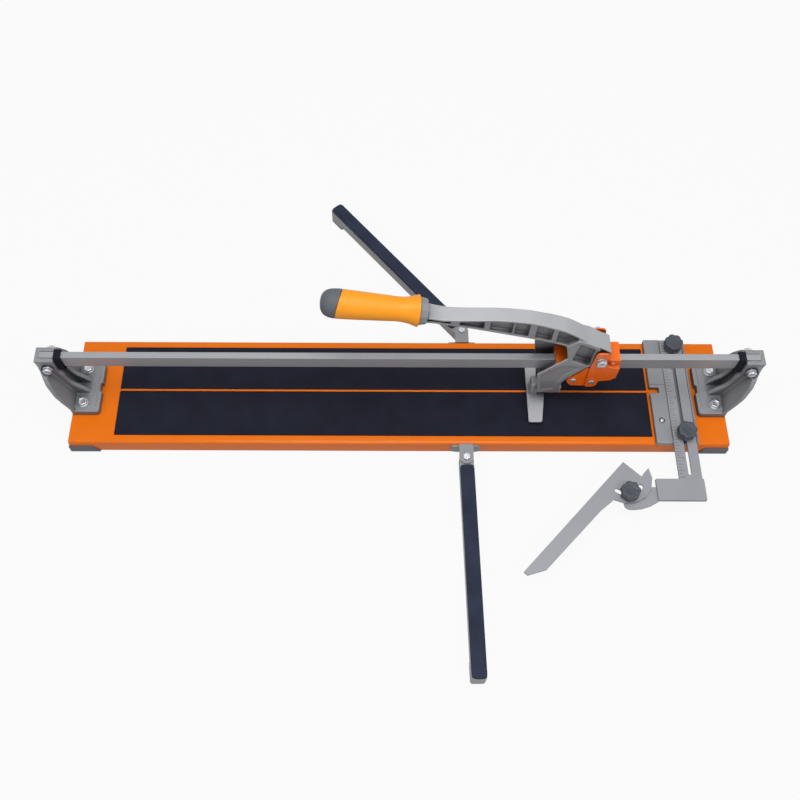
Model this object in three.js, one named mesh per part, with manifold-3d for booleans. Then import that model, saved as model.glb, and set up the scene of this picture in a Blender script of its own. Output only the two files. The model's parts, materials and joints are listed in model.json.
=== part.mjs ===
// Rail tile cutter: a folded steel bed with a breaking ridge, a flat bar rail between two cast
// brackets, and a carriage on ball bearings whose lever carries the scoring wheel and breaker foot.
// Millimetres. X runs along the rail, Y to the rear, Z up. Heights are written above the bench, and
// the whole model is dropped by BED_TOP at the end, so the origin is the middle of the ridge crest.
import * as THREE from 'three';
import { mergeVertices } from 'three/addons/utils/BufferGeometryUtils.js';
import Module from 'manifold-3d';

const wasm = await Module();
wasm.setup();

// ---- Driving dimensions ----------------------------------------------------------------------

const FIT = 0.3; // clearance of seated pieces
const RUN = 0.5; // clearance of pieces that move past each other
const ROUND = 12; // sides of a round bar or hole
const DEG = Math.PI / 180;

// Bed
const BASE_LENGTH = 985;
const BASE_DEPTH = 175;
const TRAY_TOP = 29;
const TRAY_LIFT = 2;
const SHEET = 1.5;
const TRAY_FOLD = 4.5;
const FOOT_HEIGHT = 17;
const FOOT_LENGTH = 42;
const FOOT_WIDTH = 34;
const FOOT_WALL = 2;
const FOOT_SLANT = 8;
const PAD_THICKNESS = 2.5;
const PAD_EDGE = BASE_DEPTH / 2 - 12.5;
const PAD_GAP = 0.5;
const RIDGE_WIDTH = 3;
const BED_TOP = TRAY_TOP + PAD_THICKNESS;

// Rail and its brackets
const RAIL_WIDTH = 10;
const RAIL_DEPTH = 25;
const RAIL_TOP = 139;
const RAIL_OVERHANG = 23;
const RAIL_END = BASE_LENGTH / 2 + RAIL_OVERHANG;
const RAIL_BOTTOM = RAIL_TOP - RAIL_DEPTH;
const BRACKET_LENGTH = 41;
const BRACKET_OUTER = BASE_LENGTH / 2 - 1.5;
const BRACKET_INNER = BRACKET_OUTER - BRACKET_LENGTH;
const BRACKET_HALF = 42;
const LEDGE_TOP = 41;
const PLATEAU_TOP = 43;
const PLATEAU_INSET = 6;
const BRACKET_TIP = RAIL_END + 5.5;
const HEAD_INNER = RAIL_END - 21.5;
const HEAD_HALF = 12;
const RIB_INNER = 6;
const WALL_THICKNESS = 6;
const CLAMP_X = RAIL_END - 10.5;
const CLAMP_Z = 122;
const CLAMP_BOLT = 8;
const BOLT_X = BRACKET_INNER + 24;
const BOLT_Y = 28.5;
const BASE_BOLT = 8;
const BUFFER_LENGTH = 10;
const BUFFER_HALF = 8;
const BUFFER_BOTTOM = 108;
const BUFFER_TOP = 142;

// Side arms
const ARM_X = 100;
const ARM_REACH = 21.5;
const ARM_Y = BASE_DEPTH / 2 + ARM_REACH;
const ARM_LENGTH = 320;
const ARM_WIDTH = 21;
const ARM_TOP = 27;
const ARM_BOTTOM = 8.5;
const ARM_SHEET = 1.5;
const ARM_BOLT = 6;
const FOAM_THICKNESS = 4;
const FOAM_START = 12;
const ARM_FOOT_LENGTH = 28;
const ARM_SOLE = 2.5;
const CLEVIS_SHEET = 2.5;
const CLEVIS_WIDTH = 45;
const CLEVIS_BOTTOM = 5;
const CLEVIS_TOP = 25;
const FRONT_ARM_ANGLE = -89;
const REAR_ARM_ANGLE = 130;

// Carriage; its frame stands below the lever's frame
const CARRIAGE_X = 279;
const LEVER_Z = 171.4;
const PIVOT_X = 1.5;
const PIVOT_DROP = 8.4;
const PIVOT_Z = LEVER_Z - PIVOT_DROP;
const PIVOT_BOLT = 8;
const CHANNEL_INNER = 12.8;
const CHANNEL_OUTER = 15.3;
const SKIRT_FACE = 19;
const CHEEK_THICKNESS = 2.5;
const EAR_HALF = 9.5;
const EAR_RISE = 20;
const AXLE = 8;
const AXLE_HEAD = 6.4;
const LOWER_BEARING = 22;
const LOWER_BEARING_WIDTH = 7;
const LOWER_AXLES = [-27, -1];
const UPPER_BEARING = 13;
const UPPER_BEARING_WIDTH = 5;
const UPPER_AXLE = 22;
const UPPER_AXLE_DIAMETER = 5;
const UPPER_AXLE_HEAD = 3.2;

// Lever; its frame stands PIVOT_DROP above the pivot and PIVOT_X to its left
const LEVER_HALF = 10.5;
const LEVER_FLANGE = 3.6;
const LEVER_WEB = 4;
const YOKE_FACE = 18.7;
const YOKE_BEND = 97;
const YOKE_SPLAY = 0.0655;
const YOKE_LEAN = 0.103;
const LEG_THICKNESS = 2.9;
const RIM_HEIGHT = 1.2;
const BLOCK_HALF = 14.8;
const LUG_HALF = 12;
const LUG_RADIUS = 11;
const YOKE_SLOT = 12.6;
const POCKET_WALL = 1.7;
const GRIP_TILT = 8.8;
const GRIP_LENGTH = 130;
const GRIP_RADIUS = 19.8;
const COLLAR_LENGTH = 11;
const TANG = 16;
const TANG_START = 32;
const WHEEL = 22;
const WHEEL_WIDTH = 2.5;
const WHEEL_X = -53;
const WHEEL_AXLE = 5;
const HOLDER_WIDTH = 10;
const BREAKER_LENGTH = 112;
const BREAKER_X = -76.5;
const BREAKER_LEFT = -8.7;
const BREAKER_RIGHT = 11.4;
const BREAKER_BELLY = 17.5;
const BREAKER_TOP = 40;
const BREAKER_PLATE = 3.5;
const SOLE_THICKNESS = 2;
const SOLE_BOTTOM = BREAKER_TOP - BREAKER_PLATE - SOLE_THICKNESS;
const WHEEL_Z = SOLE_BOTTOM + WHEEL / 2 - LEVER_Z;
const BREAKER_PIN = 5;
const BREAKER_PIN_Z = 60;

// Fence, ruler and angle stop
const FENCE_WIDTH = 63;
const FENCE_RIGHT = BRACKET_INNER - 5;
const FENCE_LEFT = FENCE_RIGHT - FENCE_WIDTH;
const FENCE_HALF = BASE_DEPTH / 2 + 1;
const FENCE_TOP = 37;
const PAD_LEFT = -BASE_LENGTH / 2 + 67.5;
const PAD_RIGHT = FENCE_LEFT - 3.5;
const CHANNEL_FLOOR = 32.5;
const RULER_CENTRE = FENCE_RIGHT - 21;
const RULER_WIDTH = 33.5;
const RULER_THICKNESS = 3.7;
const RULER_REAR = FENCE_HALF - 0.5;
const RULER_FRONT = -FENCE_HALF - 87.5;
const RULER_SLOT = 5;
const SLOT_FRONT = RULER_FRONT + 37;
const SLOT_REAR = RULER_REAR - 6;
const KNOB_Y = FENCE_HALF - 14.3;
const STUD = 4.2;
const KNOB_RADIUS = 14.2;
const KNOB_HEIGHT = 12;
const KNOB_BASE = 44;
const STEM = 10;
const HEAD_RIGHT = RULER_CENTRE + 18;
const HEAD_LEFT = HEAD_RIGHT - 70;
const HEAD_REAR = RULER_FRONT + 30;
const HEAD_FRONT = RULER_FRONT - 3;
const HEAD_TOP = 39;
const HEAD_WALL = 2.5;
const PLATE_TOP = 36;
const PLATE_THICKNESS = 3;
const ANGLE_X = HEAD_LEFT - 43.5;
const ANGLE_Y = HEAD_REAR;
const ANGLE_SET = -133.3;
const ANGLE_THICKNESS = 3.5;
const ANGLE_LENGTH = 209;
const ANGLE_ARC = 38.4;
const ANGLE_SLOT_RADIUS = 24;

// ---- Finishes --------------------------------------------------------------------------------

const finish = (colour, roughness, metalness) => ({ color: colour, roughness, metalness });
const ORANGE_PAINT = finish(0xe0711f, 0.35, 0.0);
const CARRIAGE_PAINT = finish(0xd2561b, 0.3, 0.0);
const RUBBER = finish(0x27272f, 0.9, 0.0);
const FOAM = finish(0x3a3f48, 0.95, 0.0);
const CAST = finish(0x8d9192, 0.5, 0.6);
const SHEET_ZINC = finish(0xb4b8b8, 0.4, 0.7);
const ALUMINIUM = finish(0xa6a9ac, 0.4, 0.8);
const STEEL = finish(0xc6cacb, 0.25, 0.9);
const DARK_STEEL = finish(0x3c3d40, 0.45, 0.8);
const GREY_PLASTIC = finish(0x56585d, 0.6, 0.0);
const KNOB_PLASTIC = finish(0x464b52, 0.5, 0.0);
const GRIP_PLASTIC = finish(0xfda83f, 0.4, 0.0);
const NYLON = finish(0xe6e4dc, 0.5, 0.0);

// ---- Shape tools -----------------------------------------------------------------------------

// Closed outline through points [x, y] or [x, y, radius], with the given corners rounded.
function outline(points) {
  const shape = new THREE.Shape();
  const count = points.length;
  points.forEach(([x, y, radius = 0], i) => {
    const corner = new THREE.Vector2(x, y);
    const before = new THREE.Vector2(...points[(i + count - 1) % count].slice(0, 2)).sub(corner);
    const after = new THREE.Vector2(...points[(i + 1) % count].slice(0, 2)).sub(corner);
    const back = Math.min(radius, before.length() / 2, after.length() / 2);
    const start = before.setLength(back).add(corner);
    const end = after.setLength(back).add(corner);
    if (i === 0) shape.moveTo(start.x, start.y);
    else shape.lineTo(start.x, start.y);
    if (back > 0) shape.quadraticCurveTo(x, y, end.x, end.y);
  });
  shape.closePath();
  return shape;
}

const rectangle = (x0, y0, x1, y1, radius = 0) =>
  outline([[x0, y0, radius], [x1, y0, radius], [x1, y1, radius], [x0, y1, radius]]);

// Slot with round ends between two points on the same line of constant x.
function slotOutline(x, y0, y1, width) {
  const shape = new THREE.Shape();
  const r = width / 2;
  shape.absarc(x, y1 - r, r, 0, Math.PI, false);
  shape.absarc(x, y0 + r, r, Math.PI, 2 * Math.PI, false);
  shape.closePath();
  return shape;
}

// Carries a shape's outline on through points by one smooth curve.
function curveThrough(shape, points, steps) {
  const start = shape.currentPoint.clone();
  const curve = new THREE.SplineCurve([start, ...points.map(([x, y]) => new THREE.Vector2(x, y))]);
  for (const point of curve.getPoints(steps).slice(1)) shape.lineTo(point.x, point.y);
}

// Extrusions of an outline along Z (outline in x, y), Y (outline in x, z) and X (outline in y, z).
function alongZ(shape, z0, z1, bevel = 0) {
  const options = { depth: z1 - z0 - 2 * bevel, curveSegments: 3, bevelEnabled: bevel > 0 };
  Object.assign(options, { bevelSize: bevel, bevelThickness: bevel, bevelOffset: -bevel, bevelSegments: 1 });
  return new THREE.ExtrudeGeometry(shape, options).translate(0, 0, z0 + bevel);
}
function alongY(shape, y0, y1, bevel = 0) {
  return alongZ(shape, -y1, -y0, bevel).rotateX(Math.PI / 2);
}
function alongX(shape, x0, x1, bevel = 0) {
  const turn = new THREE.Matrix4().makeBasis(
    new THREE.Vector3(0, 1, 0), new THREE.Vector3(0, 0, 1), new THREE.Vector3(1, 0, 0));
  return alongZ(shape, x0, x1, bevel).applyMatrix4(turn);
}
const box = (x0, x1, y0, y1, z0, z1) =>
  new THREE.BoxGeometry(x1 - x0, y1 - y0, z1 - z0).translate((x0 + x1) / 2, (y0 + y1) / 2, (z0 + z1) / 2);

// Round bars along each axis.
function rodZ(radius, z0, z1, x = 0, y = 0, sides = ROUND) {
  const rod = new THREE.CylinderGeometry(radius, radius, z1 - z0, sides).rotateX(Math.PI / 2);
  return rod.translate(x, y, (z0 + z1) / 2);
}
function rodY(radius, y0, y1, x = 0, z = 0, sides = ROUND) {
  return new THREE.CylinderGeometry(radius, radius, y1 - y0, sides).translate(x, (y0 + y1) / 2, z);
}
function rodX(radius, x0, x1, y = 0, z = 0, sides = ROUND) {
  const rod = new THREE.CylinderGeometry(radius, radius, x1 - x0, sides).rotateZ(Math.PI / 2);
  return rod.translate((x0 + x1) / 2, y, z);
}

// Turned piece: profile of [radius, height] pairs from axis to axis, standing along Z.
function turned(profile, sides = ROUND) {
  const points = profile.map(([r, h]) => new THREE.Vector2(r, h));
  return new THREE.LatheGeometry(points, sides).rotateX(Math.PI / 2);
}

// A closed mesh as a solid: shared vertices merged and collapsed triangles dropped.
function solid(geometry) {
  const bare = geometry.clone();
  bare.deleteAttribute('normal');
  bare.deleteAttribute('uv');
  const merged = mergeVertices(bare, 1e-4);
  const index = merged.index.array;
  const triangles = [];
  for (let i = 0; i < index.length; i += 3) {
    const [a, b, c] = [index[i], index[i + 1], index[i + 2]];
    if (a !== b && b !== c && c !== a) triangles.push(a, b, c);
  }
  const vertProperties = new Float32Array(merged.attributes.position.array);
  const triVerts = new Uint32Array(triangles);
  return new wasm.Manifold(new wasm.Mesh({ numProp: 3, vertProperties, triVerts }));
}
const join = (...pieces) => pieces.map(asSolid).reduce((sum, piece) => sum.add(piece));
const cut = (body, ...tools) => tools.map(asSolid).reduce((rest, tool) => rest.subtract(tool), asSolid(body));
const common = (a, b) => asSolid(a).intersect(asSolid(b));
function asSolid(piece) {
  return piece instanceof THREE.BufferGeometry ? solid(piece) : piece;
}

function geometryOf(piece) {
  const mesh = asSolid(piece).getMesh();
  const geometry = new THREE.BufferGeometry();
  const positions = [];
  for (let i = 0; i < mesh.vertProperties.length; i += mesh.numProp) {
    positions.push(mesh.vertProperties[i], mesh.vertProperties[i + 1], mesh.vertProperties[i + 2]);
  }
  geometry.setAttribute('position', new THREE.Float32BufferAttribute(positions, 3));
  geometry.setIndex(Array.from(mesh.triVerts));
  geometry.computeVertexNormals();
  return geometry;
}

function part(name, piece, look, parent) {
  const mesh = new THREE.Mesh(geometryOf(piece), new THREE.MeshStandardMaterial(look));
  mesh.name = name;
  parent.add(mesh);
  return mesh;
}

function frameAt(parent, x, y, z, turn = 0) {
  const group = new THREE.Group();
  group.position.set(x, y, z);
  group.rotation.z = turn * DEG;
  parent.add(group);
  return group;
}

// Hexagon bolt along Z: washer and head standing on z = 0, shank below it, nut at the shank's end.
function hexBolt(diameter, grip, { washer = 0, nut = true, head = 0.65 } = {}) {
  const hexRadius = (diameter * 1.625) / 2 / Math.cos(Math.PI / 6);
  const washerHeight = washer > 0 ? 1.6 : 0;
  const pieces = [
    rodZ(diameter / 2, -grip - (nut ? diameter : 0), washerHeight + 1),
    rodZ(hexRadius, washerHeight / 2, washerHeight + diameter * head, 0, 0, 6),
  ];
  if (washer > 0) pieces.push(rodZ(washer / 2, 0, washerHeight, 0, 0, 18));
  if (nut) pieces.push(rodZ(hexRadius, -grip - diameter * 0.8, -grip, 0, 0, 6));
  return join(...pieces);
}

// ---- Bed -------------------------------------------------------------------------------------

function trayProfile(inset, bottom) {
  const half = BASE_DEPTH / 2 - inset;
  const fold = TRAY_FOLD - inset;
  return outline([[-half, bottom], [half, bottom], [half, TRAY_TOP - inset, fold], [-half, TRAY_TOP - inset, fold]]);
}

function baseTray() {
  const half = BASE_LENGTH / 2;
  const boltHole = BASE_BOLT / 2 + FIT;
  const holes = [];
  for (const sx of [-1, 1]) {
    for (const sy of [-1, 1]) {
      holes.push(rodZ(boltHole, TRAY_TOP - 2 * SHEET, TRAY_TOP + 1, sx * BOLT_X, sy * BOLT_Y));
    }
  }
  return cut(
    alongX(trayProfile(0, TRAY_LIFT), -half, half),
    alongX(trayProfile(SHEET, TRAY_LIFT - 1), -half + SHEET, half - SHEET),
    ...holes);
}

// Shoe at the corner x > 0, y > 0: floor under the tray's edge, skirt outside it, low lip inside.
function cornerFoot() {
  const x = BASE_LENGTH / 2;
  const y = BASE_DEPTH / 2;
  const sideX = outline([
    [x - FOOT_LENGTH, 0], [x + FOOT_WALL, 0, 1], [x + FOOT_WALL, FOOT_HEIGHT, 1.5],
    [x - FOOT_LENGTH + FOOT_SLANT, FOOT_HEIGHT, 1.5]]);
  const sideY = outline([
    [y - FOOT_WIDTH, 0], [y + FOOT_WALL, 0, 1], [y + FOOT_WALL, FOOT_HEIGHT, 1.5],
    [y - FOOT_WIDTH + FOOT_SLANT, FOOT_HEIGHT, 1.5]]);
  const shell = common(alongY(sideX, y - FOOT_WIDTH, y + FOOT_WALL), alongX(sideY, x - FOOT_LENGTH, x + FOOT_WALL));
  const lip = SHEET + FIT;
  const floor = TRAY_LIFT - FIT;
  const lipTop = 6;
  const lipWall = 3;
  return cut(
    shell,
    box(0, x + FIT, 0, y + FIT, lipTop, FOOT_HEIGHT + 1),
    cut(box(0, x + FIT, 0, y + FIT, floor, lipTop + 1), box(0, x - lip, 0, y - lip, floor - 1, lipTop + 2)),
    box(0, x - lip - lipWall, 0, y - lip - lipWall, floor, lipTop + 1));
}

function buildBed(root) {
  part('base_tray', baseTray(), ORANGE_PAINT, root);
  part('breaking_ridge',
    box(PAD_LEFT + 2, FENCE_LEFT - FIT, -RIDGE_WIDTH / 2, RIDGE_WIDTH / 2, TRAY_TOP, BED_TOP), ORANGE_PAINT, root);
  const padInner = RIDGE_WIDTH / 2 + PAD_GAP;
  part('front_pad', box(PAD_LEFT, PAD_RIGHT, -PAD_EDGE, -padInner, TRAY_TOP, BED_TOP), RUBBER, root);
  part('rear_pad', box(PAD_LEFT, PAD_RIGHT, padInner, PAD_EDGE, TRAY_TOP, BED_TOP), RUBBER, root);
  const corners = { foot_rear_right: [1, 1], foot_front_right: [1, -1], foot_rear_left: [-1, 1], foot_front_left: [-1, -1] };
  for (const [name, [sx, sy]] of Object.entries(corners)) {
    part(name, cornerFoot().scale([sx, sy, 1]), GREY_PLASTIC, root);
  }
}

// ---- Rail and brackets -----------------------------------------------------------------------

function rail() {
  const section = rectangle(-RAIL_WIDTH / 2, RAIL_BOTTOM, RAIL_WIDTH / 2, RAIL_TOP, 0.8);
  const hole = CLAMP_BOLT / 2 + FIT;
  return cut(
    alongX(section, -RAIL_END, RAIL_END),
    rodY(hole, -RAIL_WIDTH, RAIL_WIDTH, CLAMP_X, CLAMP_Z),
    rodY(hole, -RAIL_WIDTH, RAIL_WIDTH, -CLAMP_X, CLAMP_Z));
}

// Casting at the right end: bolted block, raked bell-shaped wall, two webs and the forked rail clamp.
function bracket() {
  const block = outline([
    [BRACKET_INNER, -BRACKET_HALF, 5], [BRACKET_OUTER, -BRACKET_HALF, 3],
    [BRACKET_OUTER, BRACKET_HALF, 3], [BRACKET_INNER, BRACKET_HALF, 5]]);
  const inset = PLATEAU_INSET;
  const plateau = rectangle(
    BRACKET_INNER + inset, -BRACKET_HALF + inset, BRACKET_OUTER, BRACKET_HALF - inset, 4);
  const rake = outline([
    [BRACKET_OUTER - WALL_THICKNESS, TRAY_TOP], [BRACKET_OUTER, TRAY_TOP], [BRACKET_OUTER, PLATEAU_TOP],
    [BRACKET_TIP, RAIL_TOP - 3, 3], [BRACKET_TIP, RAIL_TOP], [BRACKET_TIP - WALL_THICKNESS, RAIL_TOP],
    [BRACKET_OUTER - WALL_THICKNESS, PLATEAU_TOP]]);
  const bell = new THREE.Shape();
  const shoulder = [
    [BRACKET_HALF, TRAY_TOP], [BRACKET_HALF, PLATEAU_TOP + 2], [BRACKET_HALF - 1.5, RAIL_TOP - 61],
    [BRACKET_HALF - 5, RAIL_TOP - 47], [BRACKET_HALF - 11, RAIL_TOP - 32], [HEAD_HALF + 8, RAIL_TOP - 20],
    [HEAD_HALF + 1.5, RAIL_TOP - 9], [HEAD_HALF, RAIL_TOP]];
  bell.moveTo(-shoulder[0][0], shoulder[0][1]);
  bell.lineTo(shoulder[0][0], shoulder[0][1]);
  curveThrough(bell, shoulder.slice(1), 14);
  bell.lineTo(-HEAD_HALF, RAIL_TOP);
  curveThrough(bell, shoulder.slice(1, -1).reverse().map(([y, z]) => [-y, z]), 14);
  bell.closePath();
  const wall = common(alongY(rake, -BRACKET_HALF, BRACKET_HALF), alongX(bell, BRACKET_OUTER - 10, BRACKET_TIP));
  const webShape = new THREE.Shape();
  webShape.moveTo(HEAD_INNER, RAIL_TOP);
  webShape.lineTo(HEAD_INNER, BUFFER_BOTTOM - 1);
  const sweep = [[4, 55], [5.5, 39], [11, 26], [19, 16], [31, -1]];
  curveThrough(webShape, sweep.map(([back, up]) => [HEAD_INNER - back, PLATEAU_TOP + up]), 10);
  webShape.lineTo(BRACKET_OUTER - 2, PLATEAU_TOP - 1);
  webShape.lineTo(BRACKET_TIP - 4, RAIL_TOP - 8);
  webShape.lineTo(BRACKET_TIP - 4, RAIL_TOP);
  webShape.closePath();
  const head = outline([
    [HEAD_INNER, BUFFER_BOTTOM], [BRACKET_TIP - 9, BUFFER_BOTTOM], [BRACKET_TIP, RAIL_TOP - 3],
    [BRACKET_TIP, RAIL_TOP, 1], [HEAD_INNER, RAIL_TOP, 1]]);
  const hole = BASE_BOLT / 2 + FIT;
  const seat = RAIL_WIDTH / 2 + FIT;
  const notch = 7;
  return cut(
    join(
      alongZ(block, TRAY_TOP, LEDGE_TOP),
      alongZ(plateau, LEDGE_TOP - 1, PLATEAU_TOP),
      wall,
      alongY(webShape, RIB_INNER, HEAD_HALF),
      alongY(webShape, -HEAD_HALF, -RIB_INNER),
      alongY(head, -HEAD_HALF, HEAD_HALF)),
    box(HEAD_INNER - 1, RAIL_END + FIT, -seat, seat, RAIL_BOTTOM, RAIL_TOP + 1),
    box(BRACKET_INNER - 1, BRACKET_INNER + 3, -notch, notch, TRAY_TOP - 1, PLATEAU_TOP + 1),
    rodY(CLAMP_BOLT / 2 + FIT, -2 * HEAD_HALF, 2 * HEAD_HALF, CLAMP_X, CLAMP_Z),
    rodY(CLAMP_BOLT + 1, HEAD_HALF, BRACKET_HALF, CLAMP_X, CLAMP_Z),
    rodY(CLAMP_BOLT + 1, -BRACKET_HALF, -HEAD_HALF, CLAMP_X, CLAMP_Z),
    rodZ(hole, TRAY_TOP - 1, PLATEAU_TOP + 1, BOLT_X, BOLT_Y),
    rodZ(hole, TRAY_TOP - 1, PLATEAU_TOP + 1, BOLT_X, -BOLT_Y));
}

function railBuffer() {
  const hole = rectangle(-RAIL_WIDTH / 2 - FIT, RAIL_BOTTOM - FIT, RAIL_WIDTH / 2 + FIT, RAIL_TOP + FIT);
  const block = rectangle(-BUFFER_HALF, BUFFER_BOTTOM, BUFFER_HALF, BUFFER_TOP, 2);
  block.holes.push(hole);
  return alongX(block, HEAD_INNER - BUFFER_LENGTH, HEAD_INNER - FIT);
}

function buildRail(root) {
  part('rail', rail(), STEEL, root);
  const ends = { right: 0, left: 180 };
  for (const [side, turn] of Object.entries(ends)) {
    const end = frameAt(root, 0, 0, 0, turn);
    part(`bracket_${side}`, bracket(), CAST, end);
    part(`rail_buffer_${side}`, railBuffer(), RUBBER, end);
    const facing = turn === 0 ? -1 : 1;
    for (const [place, sy] of [['front', facing], ['rear', -facing]]) {
      const bolt = part(`bracket_bolt_${side}_${place}`,
        hexBolt(BASE_BOLT, PLATEAU_TOP - TRAY_TOP + SHEET, { washer: 16 }), STEEL, end);
      bolt.position.set(BOLT_X, sy * BOLT_Y, PLATEAU_TOP);
    }
    const clamp = part(`rail_clamp_bolt_${side}`, hexBolt(CLAMP_BOLT, 2 * HEAD_HALF), STEEL, end);
    clamp.position.set(CLAMP_X, facing * HEAD_HALF, CLAMP_Z);
    clamp.rotation.x = -facing * 90 * DEG;
  }
}

// ---- Side arms -------------------------------------------------------------------------------

// Bracket on the wall at y = 0, facing +y, with the tongue over the arm's pivot.
function clevis(reach) {
  const half = CLEVIS_WIDTH / 2;
  const tongueHalf = ARM_WIDTH / 2;
  const tongueBottom = ARM_TOP + FIT;
  const tongueTop = tongueBottom + CLEVIS_SHEET;
  const plate = outline([
    [-half, CLEVIS_BOTTOM, 12], [half, CLEVIS_BOTTOM, 12], [half, CLEVIS_TOP, 5], [tongueHalf, CLEVIS_TOP, 2],
    [tongueHalf, tongueTop], [-tongueHalf, tongueTop], [-tongueHalf, CLEVIS_TOP, 2], [-half, CLEVIS_TOP, 5]]);
  const tongue = new THREE.Shape();
  tongue.moveTo(-tongueHalf, 0);
  tongue.lineTo(tongueHalf, 0);
  tongue.absarc(0, reach, tongueHalf, 0, Math.PI, false);
  tongue.closePath();
  return cut(
    join(alongY(plate, 0, CLEVIS_SHEET), alongZ(tongue, tongueBottom, tongueTop)),
    rodZ(ARM_BOLT / 2 + FIT, tongueBottom - 1, tongueTop + 1, 0, reach));
}

// Inverted channel from its pivot along +x, deepened at the far end where it stands on its foot.
function armChannel() {
  const half = ARM_WIDTH / 2;
  const plan = (inset) => {
    const shape = new THREE.Shape();
    shape.absarc(0, 0, half - inset, 90 * DEG, 270 * DEG, false);
    shape.lineTo(ARM_LENGTH - inset - 4, inset - half);
    shape.quadraticCurveTo(ARM_LENGTH - inset, inset - half, ARM_LENGTH - inset, inset - half + 4);
    shape.lineTo(ARM_LENGTH - inset, half - inset - 4);
    shape.quadraticCurveTo(ARM_LENGTH - inset, half - inset, ARM_LENGTH - inset - 4, half - inset);
    shape.closePath();
    return shape;
  };
  const footStart = ARM_LENGTH - ARM_FOOT_LENGTH;
  return cut(
    alongZ(plan(0), ARM_SOLE, ARM_TOP),
    alongZ(plan(ARM_SHEET), ARM_SOLE - 1, ARM_TOP - ARM_SHEET),
    box(-half - 1, footStart, -half - 1, half + 1, ARM_SOLE - 1, ARM_BOTTOM),
    rodZ(ARM_BOLT / 2 + FIT, ARM_BOTTOM, ARM_TOP + 1));
}

function armFoam() {
  const half = ARM_WIDTH / 2;
  const strip = rectangle(FOAM_START, -half, ARM_LENGTH - 1, half, 6);
  return alongZ(strip, ARM_TOP + FIT, ARM_TOP + FOAM_THICKNESS);
}

// Plug in the channel's end with a sole under its walls.
function armFoot() {
  const half = ARM_WIDTH / 2;
  const start = ARM_LENGTH - ARM_FOOT_LENGTH;
  const gap = ARM_SHEET + FIT;
  const plugTop = 12;
  return join(
    alongZ(rectangle(start, -half, ARM_LENGTH, half, 4), 0, ARM_SOLE - FIT),
    alongZ(rectangle(start + gap, -half + gap, ARM_LENGTH - gap, half - gap, 3), ARM_SOLE - 1, plugTop));
}

function buildArm(root, side, wallY, angle) {
  const outward = Math.sign(wallY);
  const reach = ARM_Y - Math.abs(wallY);
  const wall = frameAt(root, ARM_X, wallY, 0, outward > 0 ? 0 : 180);
  part(`${side}_clevis`, clevis(reach), SHEET_ZINC, wall);
  const bolt = part(`${side}_arm_bolt`, hexBolt(ARM_BOLT, CLEVIS_SHEET + ARM_SHEET + 2 * FIT), STEEL, root);
  bolt.position.set(ARM_X, outward * ARM_Y, ARM_TOP + FIT + CLEVIS_SHEET);
  const arm = frameAt(root, ARM_X, outward * ARM_Y, 0, angle);
  part(`${side}_arm_channel`, armChannel(), SHEET_ZINC, arm);
  part(`${side}_arm_foam`, armFoam(), FOAM, arm);
  part(`${side}_arm_foot`, armFoot(), GREY_PLASTIC, arm);
}

// ---- Carriage --------------------------------------------------------------------------------

const LOWER_AXLE_Z = RAIL_BOTTOM - LOWER_BEARING / 2;
const UPPER_AXLE_Z = RAIL_TOP + UPPER_BEARING / 2;

// Pressed channel over the rail: side walls, the outer skirts that carry the lower bearings and
// the two bridges over the rail.
function carriageHousing() {
  const leftTop = 144;
  const saddle = 136;
  const rightTop = 155;
  const bridge = 2.5;
  const wall = outline([
    [-58, leftTop, 3], [-41, leftTop, 3], [-40, saddle, 3], [13, saddle, 3], [14, rightTop, 2], [32, rightTop, 3],
    [32, 115], [25, 107, 2], [9, 104.4, 3], [8, 92.5, 3], [2, 87, 2], [-26.6, 87, 3], [-33, 92, 3], [-37, 103, 2],
    [-31.7, 110.2, 2], [-31, 113, 1], [-58, 113, 3]]);
  const skirt = outline([
    [32, 115], [25, 107, 2], [9, 104.4, 3], [8, 92.5, 3], [2, 87, 2], [-26.6, 87, 3], [-33, 92, 3], [-37, 103, 2],
    [-31.7, 110.2], [-13, 138.4, 1], [-3, 138.4], [-2, 142, 1], [32, 142, 1]]);
  const walls = [-1, 1].flatMap((side) => {
    const [inner, outer] = [CHANNEL_INNER, CHANNEL_OUTER].map((y) => side * y).sort((a, b) => a - b);
    const [near, far] = [CHANNEL_OUTER - 0.5, SKIRT_FACE].map((y) => side * y).sort((a, b) => a - b);
    return [alongY(wall, inner, outer), alongY(skirt, near, far)];
  });
  const holes = LOWER_AXLES.map((x) => rodY(AXLE / 2 + FIT / 2, -30, 30, x, LOWER_AXLE_Z));
  return cut(
    join(
      ...walls,
      box(-57, -42, -CHANNEL_INNER - 1, CHANNEL_INNER + 1, leftTop - bridge, leftTop),
      box(15, 31, -CHANNEL_INNER - 1, CHANNEL_INNER + 1, rightTop - bridge, rightTop)),
    ...holes,
    rodY(UPPER_AXLE_DIAMETER / 2 + FIT / 2, -30, 30, UPPER_AXLE, UPPER_AXLE_Z));
}

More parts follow.
